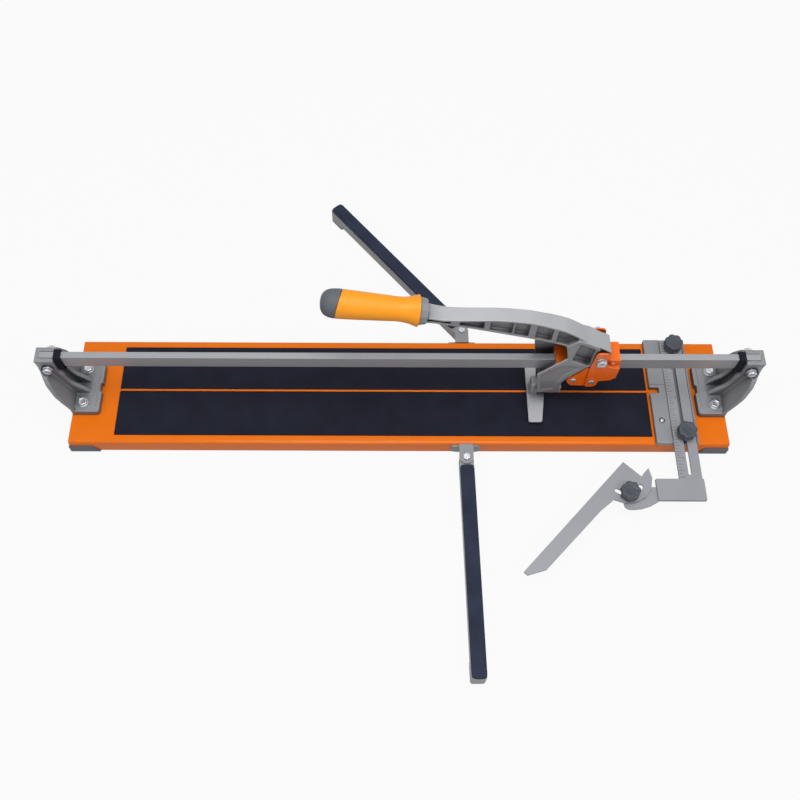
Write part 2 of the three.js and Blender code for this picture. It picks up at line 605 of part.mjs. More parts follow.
// Bolted cheek with the pivot ear, on the skirt's outer face.
function cheek(side) {
  const shape = new THREE.Shape();
  const earTop = PIVOT_Z + EAR_RISE;
  const crown = 6.5;
  shape.moveTo(-9, 90);
  shape.lineTo(-6, 87);
  shape.lineTo(2, 87);
  shape.lineTo(8, 92.5);
  shape.lineTo(9, 104.4);
  shape.lineTo(25, 107);
  shape.lineTo(32, 115);
  shape.lineTo(32, 142);
  shape.quadraticCurveTo(15, 143, PIVOT_X + EAR_HALF, PIVOT_Z - 9);
  shape.lineTo(PIVOT_X + EAR_HALF, PIVOT_Z + 6);
  shape.quadraticCurveTo(PIVOT_X + EAR_HALF - 1, earTop, PIVOT_X + EAR_HALF - crown, earTop);
  shape.lineTo(PIVOT_X - EAR_HALF + crown, earTop);
  shape.quadraticCurveTo(PIVOT_X - EAR_HALF, earTop, PIVOT_X - EAR_HALF, earTop - crown);
  shape.lineTo(-10.5, PIVOT_Z - 16);
  shape.closePath();
  const [near, far] = [SKIRT_FACE, SKIRT_FACE + CHEEK_THICKNESS].map((y) => side * y).sort((a, b) => a - b);
  return cut(
    alongY(shape, near, far),
    rodY(PIVOT_BOLT / 2 + FIT / 2, near - 1, far + 1, PIVOT_X, PIVOT_Z),
    rodY(AXLE / 2 + FIT / 2, near - 1, far + 1, LOWER_AXLES[1], LOWER_AXLE_Z));
}

// Nylon pad under the left bridge, grooved over the rail.
function guidePad() {
  const top = 144 - 2.5;
  return cut(
    box(-56, -43, -CHANNEL_INNER + FIT, CHANNEL_INNER - FIT, 124, top),
    box(-57, -42, -RAIL_WIDTH / 2 - FIT, RAIL_WIDTH / 2 + FIT, 123, RAIL_TOP + FIT));
}

function ballBearing(diameter, width, bore) {
  const [outer, inner, half] = [diameter / 2, bore / 2 + FIT / 2, width / 2];
  const rim = 0.6;
  const ring = [
    [inner, -half], [outer - rim, -half], [outer, -half + rim], [outer, half - rim], [outer - rim, half],
    [inner, half], [inner, -half]];
  return turned(ring).rotateX(Math.PI / 2);
}

// Axle along Y with a spacer collar on each side of the bearing, a screw head and a nut.
function axle(diameter, bearingWidth, seat, headRadius) {
  const [radius, collar] = [diameter / 2, diameter * 0.72];
  const [inside, outside] = [bearingWidth / 2 + FIT, CHANNEL_INNER - FIT];
  return join(
    rodY(radius, -seat - 0.5, seat + 0.5),
    rodY(collar, inside, outside),
    rodY(collar, -outside, -inside),
    rodY(headRadius, -seat - diameter * 0.4, -seat),
    rodY(headRadius, seat, seat + diameter * 0.5, 0, 0, 6));
}

function pivotBolt() {
  const face = SKIRT_FACE + CHEEK_THICKNESS;
  const collar = PIVOT_BOLT / 2 + 1.4;
  return join(
    rodY(PIVOT_BOLT / 2, -face - 1, face + 12),
    rodY(collar, LUG_HALF + FIT, SKIRT_FACE - FIT),
    rodY(collar, -SKIRT_FACE + FIT, -LUG_HALF - FIT),
    rodY(8.4, -face - 1.6, -face),
    rodY(7.5, -face - 7, -face - 1, 0, 0, 6));
}

function pivotNut() {
  const face = SKIRT_FACE + CHEEK_THICKNESS;
  return cut(
    join(rodY(8.4, face, face + 1.6), rodY(7.5, face + 1, face + 9.5, 0, 0, 6)),
    rodY(PIVOT_BOLT / 2 + FIT / 2, face - 1, face + 10));
}

function buildCarriage(root) {
  const carriage = frameAt(root, CARRIAGE_X, 0, 0);
  part('carriage_housing', carriageHousing(), CARRIAGE_PAINT, carriage);
  part('carriage_cheek_front', cheek(-1), CARRIAGE_PAINT, carriage);
  part('carriage_cheek_rear', cheek(1), CARRIAGE_PAINT, carriage);
  part('rail_guide_pad', guidePad(), NYLON, carriage);
  const seats = { left: SKIRT_FACE, right: SKIRT_FACE + CHEEK_THICKNESS };
  Object.entries(seats).forEach(([side, seat], i) => {
    const rod = part(`lower_axle_${side}`, axle(AXLE, LOWER_BEARING_WIDTH, seat, AXLE_HEAD), STEEL, carriage);
    rod.position.set(LOWER_AXLES[i], 0, LOWER_AXLE_Z);
    const bearing = part(`lower_bearing_${side}`, ballBearing(LOWER_BEARING, LOWER_BEARING_WIDTH, AXLE), STEEL, carriage);
    bearing.position.set(LOWER_AXLES[i], 0, LOWER_AXLE_Z);
  });
  const upperAxle = part('upper_axle', axle(UPPER_AXLE_DIAMETER, UPPER_BEARING_WIDTH, CHANNEL_OUTER, UPPER_AXLE_HEAD), STEEL, carriage);
  upperAxle.position.set(UPPER_AXLE, 0, UPPER_AXLE_Z);
  const upper = part('upper_bearing',
    ballBearing(UPPER_BEARING, UPPER_BEARING_WIDTH, UPPER_AXLE_DIAMETER), STEEL, carriage);
  upper.position.set(UPPER_AXLE, 0, UPPER_AXLE_Z);
  const pivot = frameAt(carriage, PIVOT_X, 0, PIVOT_Z);
  part('lever_pivot_bolt', pivotBolt(), STEEL, pivot);
  part('lever_pivot_nut', pivotNut(), STEEL, pivot);
  return frameAt(carriage, 0, 0, LEVER_Z);
}

// ---- Lever -----------------------------------------------------------------------------------

const LEVER_TOP = [
  [-244.5, 88.2], [-237, 86], [-221, 81.5], [-192, 79.6], [-152, 79.6], [-109, 74.1], [-74, 62.4], [-54, 53],
  [-36, 40], [-20, 27], [-4, 16.8], [14, 4]];
const LEVER_UNDER = [
  [-49, 15.5], [-68, 23.3], [-105, 35.3], [-149, 48.6], [-184, 59.6], [-205, 64.6], [-221, 70], [-236, 74.6],
  [-246.4, 76]];
const vectors = (points) => points.map(([x, z]) => new THREE.Vector2(x, z));

// Side outline of the lever's beam; the inset moves both edges inwards for the pockets.
function beamOutline(inset) {
  const top = new THREE.SplineCurve(vectors(LEVER_TOP)).getPoints(22);
  const under = new THREE.SplineCurve(vectors(LEVER_UNDER)).getPoints(16);
  return { top: top.map((p) => [p.x, p.y - inset]), under: under.map((p) => [p.x, p.y + inset]) };
}

// Beam with its waist: the side outline met by the outline seen from above.
function leverBeam() {
  const { top, under } = beamOutline(0);
  const waist = [[-250, 12.6], [-215, 11.2], [-160, LEVER_HALF], [-90, 11.2], [-36, 13], [18, BLOCK_HALF]];
  const plan = new THREE.Shape();
  plan.moveTo(waist[0][0], -waist[0][1]);
  curveThrough(plan, waist.slice(1).map(([x, y]) => [x, -y]), 10);
  plan.lineTo(waist.at(-1)[0], waist.at(-1)[1]);
  curveThrough(plan, waist.slice(0, -1).reverse(), 10);
  plan.closePath();
  const blockEnd = [[14.2, -1], [-4, 11.5], [-22, 21]];
  const side = alongY(outline([...top, ...blockEnd, ...under]), -2 * LEVER_HALF, 2 * LEVER_HALF);
  return common(side, alongZ(plan, -20, 120));
}

// Pockets along both sides of the beam, between its flanges and its ribs.
function beamPockets() {
  const { top, under } = beamOutline(LEVER_FLANGE);
  const band = alongY(outline([...top, ...under]), LEVER_WEB, 3 * LEVER_HALF);
  const bays = [[-245, -213.5], [-201.5, -168.5], [-160.5, -129.5], [-127, -107], [-97, -74], [-67, -37]];
  return bays.flatMap(([left, right]) => {
    const bay = rectangle(left, 0, right, 100);
    const pocket = common(band, alongY(bay, 0, 3 * LEVER_HALF + 1));
    return [pocket, pocket.mirror([0, 1, 0])];
  });
}

// Leans a piece sideways: y grows by the slope for each millimetre above height z.
function leaned(geometry, slope, z) {
  const shear = new THREE.Matrix4().makeShear(0, 0, 0, 0, 0, slope);
  return geometry.clone().applyMatrix4(shear.premultiply(new THREE.Matrix4().makeTranslation(0, -slope * z, 0)));
}

const SPLAY_START = -25;
const KNEE = YOKE_BEND - LEVER_Z;

// Side plate of the yoke with its raised rim, bent inwards below the knee and above the carriage.
function sidePlate(upperEdge) {
  const shape = new THREE.Shape();
  shape.moveTo(-12, -30.4);
  shape.lineTo(-30, -10);
  for (const [x, z] of upperEdge) shape.lineTo(x, z);
  shape.lineTo(-81.5, -54);
  shape.lineTo(-80.5, -62);
  shape.lineTo(-72.5, -116);
  shape.lineTo(-39.5, -115);
  const throat = [[-41.6, -99.5], [-43.5, -85.3], [-41.5, -75.5], [-36.8, -65.5], [-28.4, -53.2], [-20.5, -41.8]];
  curveThrough(shape, [...throat, [-12, -30.4]], 12);
  const panel = new THREE.Shape();
  panel.moveTo(-22, -33.5);
  curveThrough(panel, [[-33.1, -44.1], [-42.4, -57], [-48.1, -72.8], [-50.8, -87.2], [-49.6, -103]], 9);
  for (const [x, z] of [[-68, -105], [-75, -58], [-64, -42], [-52, -30], [-40, -28]]) panel.lineTo(x, z);
  const inner = YOKE_FACE - LEG_THICKNESS;
  const plate = cut(alongY(shape, inner, YOKE_FACE), alongY(panel, YOKE_FACE - RIM_HEIGHT, YOKE_FACE + 1));
  const lap = 0.2;
  const zones = [[-130, KNEE, YOKE_LEAN, KNEE], [KNEE, SPLAY_START, 0, 0], [SPLAY_START, 60, -YOKE_SPLAY, SPLAY_START]];
  return join(...zones.map(([bottom, top, slope, bend]) => {
    const slice = common(plate, box(-100, 10, 0, 2 * YOKE_FACE, bottom - lap, top + lap));
    return leaned(geometryOf(slice), slope, bend);
  }));
}

// Frame over the carriage, pivot lugs, the two legs and the bridge that holds the wheel.
function yoke() {
  const frame = outline([
    [-51.5, 20], [-48, 5.3], [-44.7, -9.8, 5], [-14, -31.4, 3], [-8, -30.4, 1.5], [-6.9, -18.7], [-5.3, -2.7],
    [-3, 10.1, 3], [-9, 20], [-21.7, 28], [-35.8, 33.3, 3]]);
  const lug = outline([
    [-10, 16], [-3, 12], [8, 4], [PIVOT_X + LUG_RADIUS, -PIVOT_DROP], [PIVOT_X - LUG_RADIUS, -PIVOT_DROP]]);
  const trim = leaned(box(-100, 40, YOKE_FACE, 2 * YOKE_FACE, SPLAY_START, 60), -YOKE_SPLAY, SPLAY_START);
  const bridge = [-70, -38, -13.5, 13.5, -116, -101.4];
  return join(
    cut(alongY(frame, -YOKE_FACE, YOKE_FACE), trim, asSolid(trim).mirror([0, 1, 0])),
    alongY(lug, -LUG_HALF, LUG_HALF),
    rodY(LUG_RADIUS, -LUG_HALF, LUG_HALF, PIVOT_X, -PIVOT_DROP),
    sidePlate([[-44.7, -9.8], [-59.1, -25.3], [-67.9, -36.4]]).mirror([0, 1, 0]),
    sidePlate([[-54, 29.6], [-60, 30], [-92, 28.6], [-87.5, -19.4], [-83, -45]]),
    box(...bridge));
}

// What is open in the finished casting: side windows, slot over the carriage, bores and wheel seat.
function yokeOpenings() {
  const window = outline([[-32.9, 26.1, 2], [-38.3, -14.4, 3], [-11.6, -28.1, 3], [-9.6, 13, 2]]);
  const legInner = YOKE_FACE - LEG_THICKNESS;
  const slotHalf = YOKE_SLOT / 2;
  const pocketFloor = slotHalf + POCKET_WALL;
  return [
    alongY(window, pocketFloor, YOKE_FACE + 1),
    alongY(window, -YOKE_FACE - 1, -pocketFloor),
    box(-60, -12, -slotHalf, slotHalf, -100, -11.4),
    box(-66, -36, -HOLDER_WIDTH / 2 - FIT, HOLDER_WIDTH / 2 + FIT, -126, -100),
    box(-75, -12, -legInner, legInner, -60, -32),
    rodY(PIVOT_BOLT / 2 + FIT / 2, -30, 30, PIVOT_X, -PIVOT_DROP),
    rodX(BREAKER_PIN / 2 + FIT / 2, -75, -60, 0, BREAKER_PIN_Z - LEVER_Z)];
}

const NECK = new THREE.Vector2(-245.66, 86.03);
const GRIP_REACH = GRIP_LENGTH + COLLAR_LENGTH;
const GRIP_END = new THREE.Vector2(
  NECK.x - GRIP_REACH * Math.cos(GRIP_TILT * DEG),
  NECK.y + GRIP_REACH * Math.sin(GRIP_TILT * DEG));

// Frame with +Z along the grip, from its domed cap to the collar.
function gripFrame(parent) {
  const frame = new THREE.Group();
  frame.position.set(GRIP_END.x, 0, GRIP_END.y);
  frame.rotation.y = (90 + GRIP_TILT) * DEG;
  parent.add(frame);
  return frame;
}

function gripProfile(bore) {
  const r = GRIP_RADIUS;
  const end = GRIP_LENGTH;
  const points = [[0, 0], [r * 0.45, 1.2], [r * 0.78, 5.5], [r * 0.95, 13], [r, 24], [r * 0.97, 45], [r * 0.92, 66],
    [r * 0.87, end - 42], [r * 0.84, end - 28], [r * 0.88, end - 18], [r * 1.02, end - 11], [r * 1.1, end - 6],
    [r * 1.1, end - 2], [r * 1.04, end], [bore, end], [bore, TANG_START - 2], [0, TANG_START - 2]];
  return turned(points, 24);
}

function slantedHalf(offset, keepCap) {
  const depth = 80;
  const plane = box(-60, 60, -60, 60, keepCap ? -depth : 0, keepCap ? 0 : 3 * depth);
  return plane.rotateY(22 * DEG).translate(0, 0, 24 + offset);
}

function leverCasting() {
  const tang = rodZ(TANG / 2, TANG_START, GRIP_LENGTH + COLLAR_LENGTH + 4)
    .rotateY((90 + GRIP_TILT) * DEG)
    .translate(GRIP_END.x, 0, GRIP_END.y);
  return cut(join(cut(leverBeam(), ...beamPockets()), tang, yoke()), ...yokeOpenings());
}

function wheelHolder() {
  const half = HOLDER_WIDTH / 2;
  const slit = WHEEL_WIDTH / 2 + RUN;
  const arch = WHEEL / 2 + 1;
  const profile = outline([[-12, 24, 1], [12, 24, 1], [12, 4, 2], [7, -4.4, 3], [-7, -4.4, 3], [-12, 4, 2]]);
  return cut(
    alongY(profile, -half, half),
    rodY(arch, -slit, slit),
    box(-arch, arch, -slit, slit, -20, 0),
    rodY(WHEEL_AXLE / 2 + FIT / 2, -half - 1, half + 1));
}

function scoringWheel() {
  const [r, half] = [WHEEL / 2, WHEEL_WIDTH / 2];
  const bore = WHEEL_AXLE / 2 + FIT / 2;
  return turned([[bore, -half], [r * 0.7, -half], [r, 0], [r * 0.7, half], [bore, half], [bore, -half]], 28)
    .rotateX(Math.PI / 2);
}

// Plan of the breaker foot: straight on the left, widest at the middle of its right edge, where a
// notch clears the scoring wheel.
function breakerPlan() {
  const half = BREAKER_LENGTH / 2;
  const [bellyHalf, notchHalf, notchDepth] = [8.5, 5.5, 7];
  const notch = BREAKER_BELLY - notchDepth;
  return outline([
    [BREAKER_LEFT, -half, 3], [BREAKER_RIGHT, -half, 3], [BREAKER_BELLY, -bellyHalf, 2], [BREAKER_BELLY, -notchHalf],
    [notch, -notchHalf], [notch, notchHalf], [BREAKER_BELLY, notchHalf], [BREAKER_BELLY, bellyHalf, 2],
    [BREAKER_RIGHT, half, 3], [BREAKER_LEFT, half, 3]]);
}

function breakerFoot() {
  const bar = alongZ(breakerPlan(), BREAKER_TOP - BREAKER_PLATE, BREAKER_TOP);
  const crown = BREAKER_PIN_Z + 7;
  const lug = outline([[-9.5, BREAKER_TOP - 1], [9.5, BREAKER_TOP - 1], [8.5, crown, 4], [-8.5, crown, 4]]);
  return cut(
    join(bar, alongX(lug, -4.6, 5.6)),
    rodX(BREAKER_PIN / 2 + FIT / 2, -7, 8, 0, BREAKER_PIN_Z));
}

function buildLever(lever) {
  part('lever_casting', leverCasting(), ALUMINIUM, lever);
  const grip = gripFrame(lever);
  const whole = asSolid(gripProfile(TANG / 2 + FIT));
  part('grip_sleeve', common(whole, slantedHalf(FIT, false)), GRIP_PLASTIC, grip);
  part('grip_cap', common(whole, slantedHalf(0, true)), GREY_PLASTIC, grip);
  const collar = [[TANG / 2 + FIT, GRIP_LENGTH + FIT], [19.2, GRIP_LENGTH + FIT], [17, GRIP_LENGTH + COLLAR_LENGTH],
    [TANG / 2 + FIT, GRIP_LENGTH + COLLAR_LENGTH], [TANG / 2 + FIT, GRIP_LENGTH + FIT]];
  part('grip_collar', turned(collar), GREY_PLASTIC, grip);
  const hub = frameAt(lever, WHEEL_X, 0, WHEEL_Z);
  part('wheel_holder', wheelHolder(), DARK_STEEL, hub);
  part('wheel_axle', rodY(WHEEL_AXLE / 2, -HOLDER_WIDTH / 2, HOLDER_WIDTH / 2), STEEL, hub);
  part('scoring_wheel', scoringWheel(), STEEL, hub);
  const foot = frameAt(lever, BREAKER_X, 0, -LEVER_Z);
  part('breaker_foot', breakerFoot(), ALUMINIUM, foot);
  part('breaker_sole', alongZ(breakerPlan(), SOLE_BOTTOM, SOLE_BOTTOM + SOLE_THICKNESS), RUBBER, foot);
  part('breaker_pin', rodX(BREAKER_PIN / 2, -3, 10.2, 0, BREAKER_PIN_Z), STEEL, foot);
}

// ---- Fence, ruler and angle stop -------------------------------------------------------------

function fenceGuide() {
  const channelLeft = RULER_CENTRE - RULER_WIDTH / 2 - RUN;
  const channelRight = RULER_CENTRE + RULER_WIDTH / 2 + RUN;
  const notchLength = 14;
  const notchHalf = 4.5;
  const block = rectangle(FENCE_LEFT, -FENCE_HALF, FENCE_RIGHT, FENCE_HALF, 2);
  const [screwX, screwY] = [FENCE_LEFT + 12.8, 50.2];
  return cut(
    alongZ(block, TRAY_TOP, FENCE_TOP),
    box(channelLeft, channelRight, -FENCE_HALF - 1, FENCE_HALF + 1, CHANNEL_FLOOR, FENCE_TOP + 1),
    box(FENCE_LEFT - 1, FENCE_LEFT + notchLength, -notchHalf, notchHalf, TRAY_TOP - 1, FENCE_TOP + 1),
    rodZ(4.25, FENCE_TOP - 3, FENCE_TOP + 1, screwX, -screwY),
    rodZ(4.25, FENCE_TOP - 3, FENCE_TOP + 1, screwX, screwY),
    rodZ(STUD / 2 + FIT / 2, TRAY_TOP - 1, FENCE_TOP, RULER_CENTRE, KNOB_Y),
    rodZ(STUD / 2 + FIT / 2, TRAY_TOP - 1, FENCE_TOP, RULER_CENTRE, -KNOB_Y));
}

const RULER_BOTTOM = CHANNEL_FLOOR + FIT;

function rulerBar() {
  const [x0, x1] = [RULER_CENTRE - RULER_WIDTH / 2, RULER_CENTRE + RULER_WIDTH / 2];
  const bar = rectangle(x0, RULER_FRONT, x1, RULER_REAR, 1);
  bar.holes.push(slotOutline(RULER_CENTRE, SLOT_FRONT, SLOT_REAR, RULER_SLOT));
  return alongZ(bar, RULER_BOTTOM, RULER_BOTTOM + RULER_THICKNESS);
}

// Cap over the ruler's front end with the protractor plate that carries the angle stop.
function rulerHead() {
  const capBottom = PLATE_TOP - PLATE_THICKNESS;
  const barTop = RULER_BOTTOM + RULER_THICKNESS + FIT;
  const [barLeft, barRight] = [RULER_CENTRE - RULER_WIDTH / 2 - FIT, RULER_CENTRE + RULER_WIDTH / 2 + FIT];
  const plate = new THREE.Shape();
  const [hubRadius, tip] = [8, HEAD_FRONT - 13.5];
  plate.moveTo(HEAD_LEFT + 1, ANGLE_Y - 12);
  plate.lineTo(HEAD_LEFT + 1, HEAD_FRONT - 1);
  plate.quadraticCurveTo(HEAD_LEFT - 17, tip, ANGLE_X + 5.5, tip);
  plate.quadraticCurveTo(ANGLE_X - 6, tip, ANGLE_X - 6, tip + 8.5);
  plate.lineTo(ANGLE_X - hubRadius, ANGLE_Y);
  plate.absarc(ANGLE_X, ANGLE_Y, hubRadius, Math.PI, 0, true);
  plate.quadraticCurveTo(ANGLE_X + 8.5, ANGLE_Y - 14, ANGLE_X + 21.5, ANGLE_Y - 20);
  plate.quadraticCurveTo(ANGLE_X + 29.5, ANGLE_Y - 20, HEAD_LEFT - 10, ANGLE_Y - 12);
  plate.closePath();
  return cut(
    join(
      alongZ(rectangle(HEAD_LEFT, HEAD_FRONT, HEAD_RIGHT, HEAD_REAR, 1), capBottom, HEAD_TOP),
      alongZ(plate, capBottom, PLATE_TOP),
      rodZ(4, capBottom, PLATE_TOP + 2, ANGLE_X, ANGLE_Y)),
    box(barLeft, barRight, RULER_FRONT - FIT, HEAD_REAR + 1, capBottom - 1, barTop),
    rodZ(STUD / 2 + FIT / 2, capBottom - 1, PLATE_TOP + 1, ANGLE_KNOB.x, ANGLE_KNOB.y));
}

const SLOT_TURN = 45.7;
const ANGLE_KNOB = new THREE.Vector2(
  ANGLE_X + ANGLE_SLOT_RADIUS * Math.cos((ANGLE_SET + SLOT_TURN) * DEG),
  ANGLE_Y + ANGLE_SLOT_RADIUS * Math.sin((ANGLE_SET + SLOT_TURN) * DEG));
const ANGLE_BOTTOM = PLATE_TOP + FIT;

// Set square turning on its head: +x is along the blade, the head is struck from the pivot.
function angleArm() {
  const outerEdge = -18.5;
  const headEdge = -18;
  const hookEdge = 14;
  const hookAngle = Math.PI - Math.asin(hookEdge / ANGLE_ARC);
  const neckAngle = 11 * DEG;
  const shape = new THREE.Shape();
  shape.moveTo(headEdge, outerEdge);
  shape.lineTo(ANGLE_LENGTH, outerEdge);
  shape.lineTo(ANGLE_LENGTH, outerEdge + 7);
  shape.lineTo(ANGLE_LENGTH - 24, 2.5);
  shape.lineTo(65, 4);
  shape.lineTo(ANGLE_ARC * Math.cos(neckAngle), ANGLE_ARC * Math.sin(neckAngle));
  shape.absarc(0, 0, ANGLE_ARC, neckAngle, hookAngle, false);
  shape.lineTo(headEdge - 5, hookEdge);
  shape.lineTo(headEdge - 3, hookEdge + 1.5);
  shape.lineTo(headEdge, hookEdge);
  shape.closePath();
  const slotHalf = STUD / 2 + RUN + 0.6;
  const [from, to] = [5 * DEG, 102 * DEG];
  const slot = new THREE.Path();
  slot.absarc(0, 0, ANGLE_SLOT_RADIUS + slotHalf, from, to, false);
  slot.absarc(ANGLE_SLOT_RADIUS * Math.cos(to), ANGLE_SLOT_RADIUS * Math.sin(to), slotHalf, to, to + Math.PI, false);
  slot.absarc(0, 0, ANGLE_SLOT_RADIUS - slotHalf, to, from, true);
  slot.absarc(ANGLE_SLOT_RADIUS * Math.cos(from), ANGLE_SLOT_RADIUS * Math.sin(from), slotHalf,
    from + Math.PI, from + 2 * Math.PI, false);
  slot.closePath();
  shape.holes.push(slot);
  return cut(
    alongZ(shape, ANGLE_BOTTOM, ANGLE_BOTTOM + ANGLE_THICKNESS),
    rodZ(4 + FIT, ANGLE_BOTTOM - 1, PLATE_TOP + 2 + FIT));
}

// Lobed clamping knob with its stem and stud, standing on the piece it clamps.
function starKnob(clampHeight, studBottom) {
  const lobes = 7;
  const steps = lobes * 5;
  const points = [];
  for (let i = 0; i < steps; i += 1) {
    const angle = (2 * Math.PI * i) / steps;
    const r = KNOB_RADIUS - 1.1 + 1.1 * Math.cos(lobes * angle);
    points.push([r * Math.cos(angle), r * Math.sin(angle)]);
  }
  return join(
    alongZ(outline(points), KNOB_BASE, KNOB_BASE + KNOB_HEIGHT, 2),
    rodZ(STEM / 2, clampHeight + FIT, KNOB_BASE + 1),
    rodZ(STUD / 2, studBottom, KNOB_BASE));
}

function buildFence(root) {
  part('fence_guide', fenceGuide(), CAST, root);
  const rulerTop = RULER_BOTTOM + RULER_THICKNESS;
  for (const [name, y] of [['rear', KNOB_Y], ['front', -KNOB_Y]]) {
    const knob = part(`ruler_knob_${name}`, starKnob(rulerTop, TRAY_TOP + 0.5), KNOB_PLASTIC, root);
    knob.position.set(RULER_CENTRE, y, 0);
  }
  part('ruler_bar', rulerBar(), ALUMINIUM, root);
  part('ruler_head', rulerHead(), ALUMINIUM, root);
  const swing = frameAt(root, ANGLE_X, ANGLE_Y, 0, ANGLE_SET);
  part('angle_arm', angleArm(), ALUMINIUM, swing);
  const knob = part('angle_knob', starKnob(ANGLE_BOTTOM + ANGLE_THICKNESS, PLATE_TOP - PLATE_THICKNESS), KNOB_PLASTIC, root);
  knob.position.set(ANGLE_KNOB.x, ANGLE_KNOB.y, 0);
}

// ---- Assembly --------------------------------------------------------------------------------

const cutter = new THREE.Group();
cutter.position.z = -BED_TOP;
buildBed(cutter);
buildRail(cutter);
buildArm(cutter, 'front', -BASE_DEPTH / 2, FRONT_ARM_ANGLE);
buildArm(cutter, 'rear', BASE_DEPTH / 2, REAR_ARM_ANGLE);
buildLever(buildCarriage(cutter));
buildFence(cutter);

export default cutter;
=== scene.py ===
"""A manual rail tile cutter, shaped and finished piece by piece.

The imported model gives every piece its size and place. This script softens the castings, models the
turned, pressed and moulded pieces again with their fine detail, and gives each one its own finish.
Sizes are in millimetres unless a name or a comment says otherwise; meshes are in metres.
"""

import json
import logging
import math
from contextlib import contextmanager
from dataclasses import dataclass, replace
from enum import Enum
from typing import Iterator

import bmesh
import bpy
from mathutils import Matrix, Vector


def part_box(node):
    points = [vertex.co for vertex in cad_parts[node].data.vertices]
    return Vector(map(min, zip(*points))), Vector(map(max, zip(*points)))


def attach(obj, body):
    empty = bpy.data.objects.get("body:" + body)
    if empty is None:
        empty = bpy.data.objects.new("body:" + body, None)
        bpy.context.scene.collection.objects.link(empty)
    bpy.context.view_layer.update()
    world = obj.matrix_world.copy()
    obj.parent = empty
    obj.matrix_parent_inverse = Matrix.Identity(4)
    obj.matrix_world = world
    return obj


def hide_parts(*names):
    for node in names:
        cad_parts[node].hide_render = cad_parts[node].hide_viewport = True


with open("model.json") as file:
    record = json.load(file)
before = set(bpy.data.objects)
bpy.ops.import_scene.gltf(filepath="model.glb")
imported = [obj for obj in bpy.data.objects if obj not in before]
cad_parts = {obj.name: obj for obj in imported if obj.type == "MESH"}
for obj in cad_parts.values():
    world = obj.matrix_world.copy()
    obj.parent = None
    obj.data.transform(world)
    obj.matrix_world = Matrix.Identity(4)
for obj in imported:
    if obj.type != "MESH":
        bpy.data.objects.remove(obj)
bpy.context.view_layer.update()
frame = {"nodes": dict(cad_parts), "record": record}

log = logging.getLogger("tile_cutter")

MM = 0.001
BED_TOP = 31.5  # height of the tile bed above the bench, where the frame has its zero
# mask of the painted shade on side faces
SIDE = "turned_sideways"  # what `marked` writes on a piece and its finish reads
WASHER = 1.2  # thickness of every washer
WELD = 0.01  # points of a node that are nearer than this become one
LEVEL = 0.6  # degrees under which two of its triangles are one flat face
SEAM = 0.002  # the same as WELD where a spun profile closes
FORWARDS = Matrix.Rotation(math.pi / 2, 4, "X")  # turns a seat from up to the front
BACKWARDS = Matrix.Rotation(-math.pi / 2, 4, "X")  # and from up to the rear

Point = tuple[float, float]
Outline = list[Point]  # corners as radius and height


def at(x: float, y: float, z: float) -> Vector:
    """Returns the scene point for millimetres with z above the bench."""
    return Vector((x, y, z - BED_TOP)) * MM


# ---- Finishes ------------------------------------------------------------------------------------

COAT_ROUGHNESS = 0.12
SCRATCH_STRETCH = 0.02  # how far a brushed finish is drawn out along X
CLOUD_MM = 40.0  # size of the broad clouds in every finish
# reach of the painted shade in hollows
HOLLOW_MM = 22.0  # how near the walls around a hollow are
HOLLOW_SKY = (0.32, 0.95)  # open sky over the deepest hollow and over a free face
SHADE_STOPS = (0.35, 1.0)  # where the darker and the lighter shade of a colour stand
PATTERN_SUM = (0.6, 1.4)  # usual least and most of the fine and the broad pattern together
RELIEF_STRENGTH = 0.6

class Grain(Enum):
    """The surface pattern of a finish."""

    PAINT = "orange peel of sprayed paint"
    CAST = "fine pits of a shot-blasted casting"
    BRUSHED = "long scratches along X"
    FOAM = "open cells of foam"
    MOULDED = "fine spark texture of a mould"
    ROLLED = "faint mottle of rolled sheet"


def linear(srgb: tuple[int, int, int]) -> tuple[float, float, float, float]:
    """Returns the linear colour of an 8-bit sRGB one."""
    values = [c / 255 for c in srgb]
    return tuple(v / 12.92 if v <= 0.04045 else ((v + 0.055) / 1.055) ** 2.4 for v in values) + (1.0,)


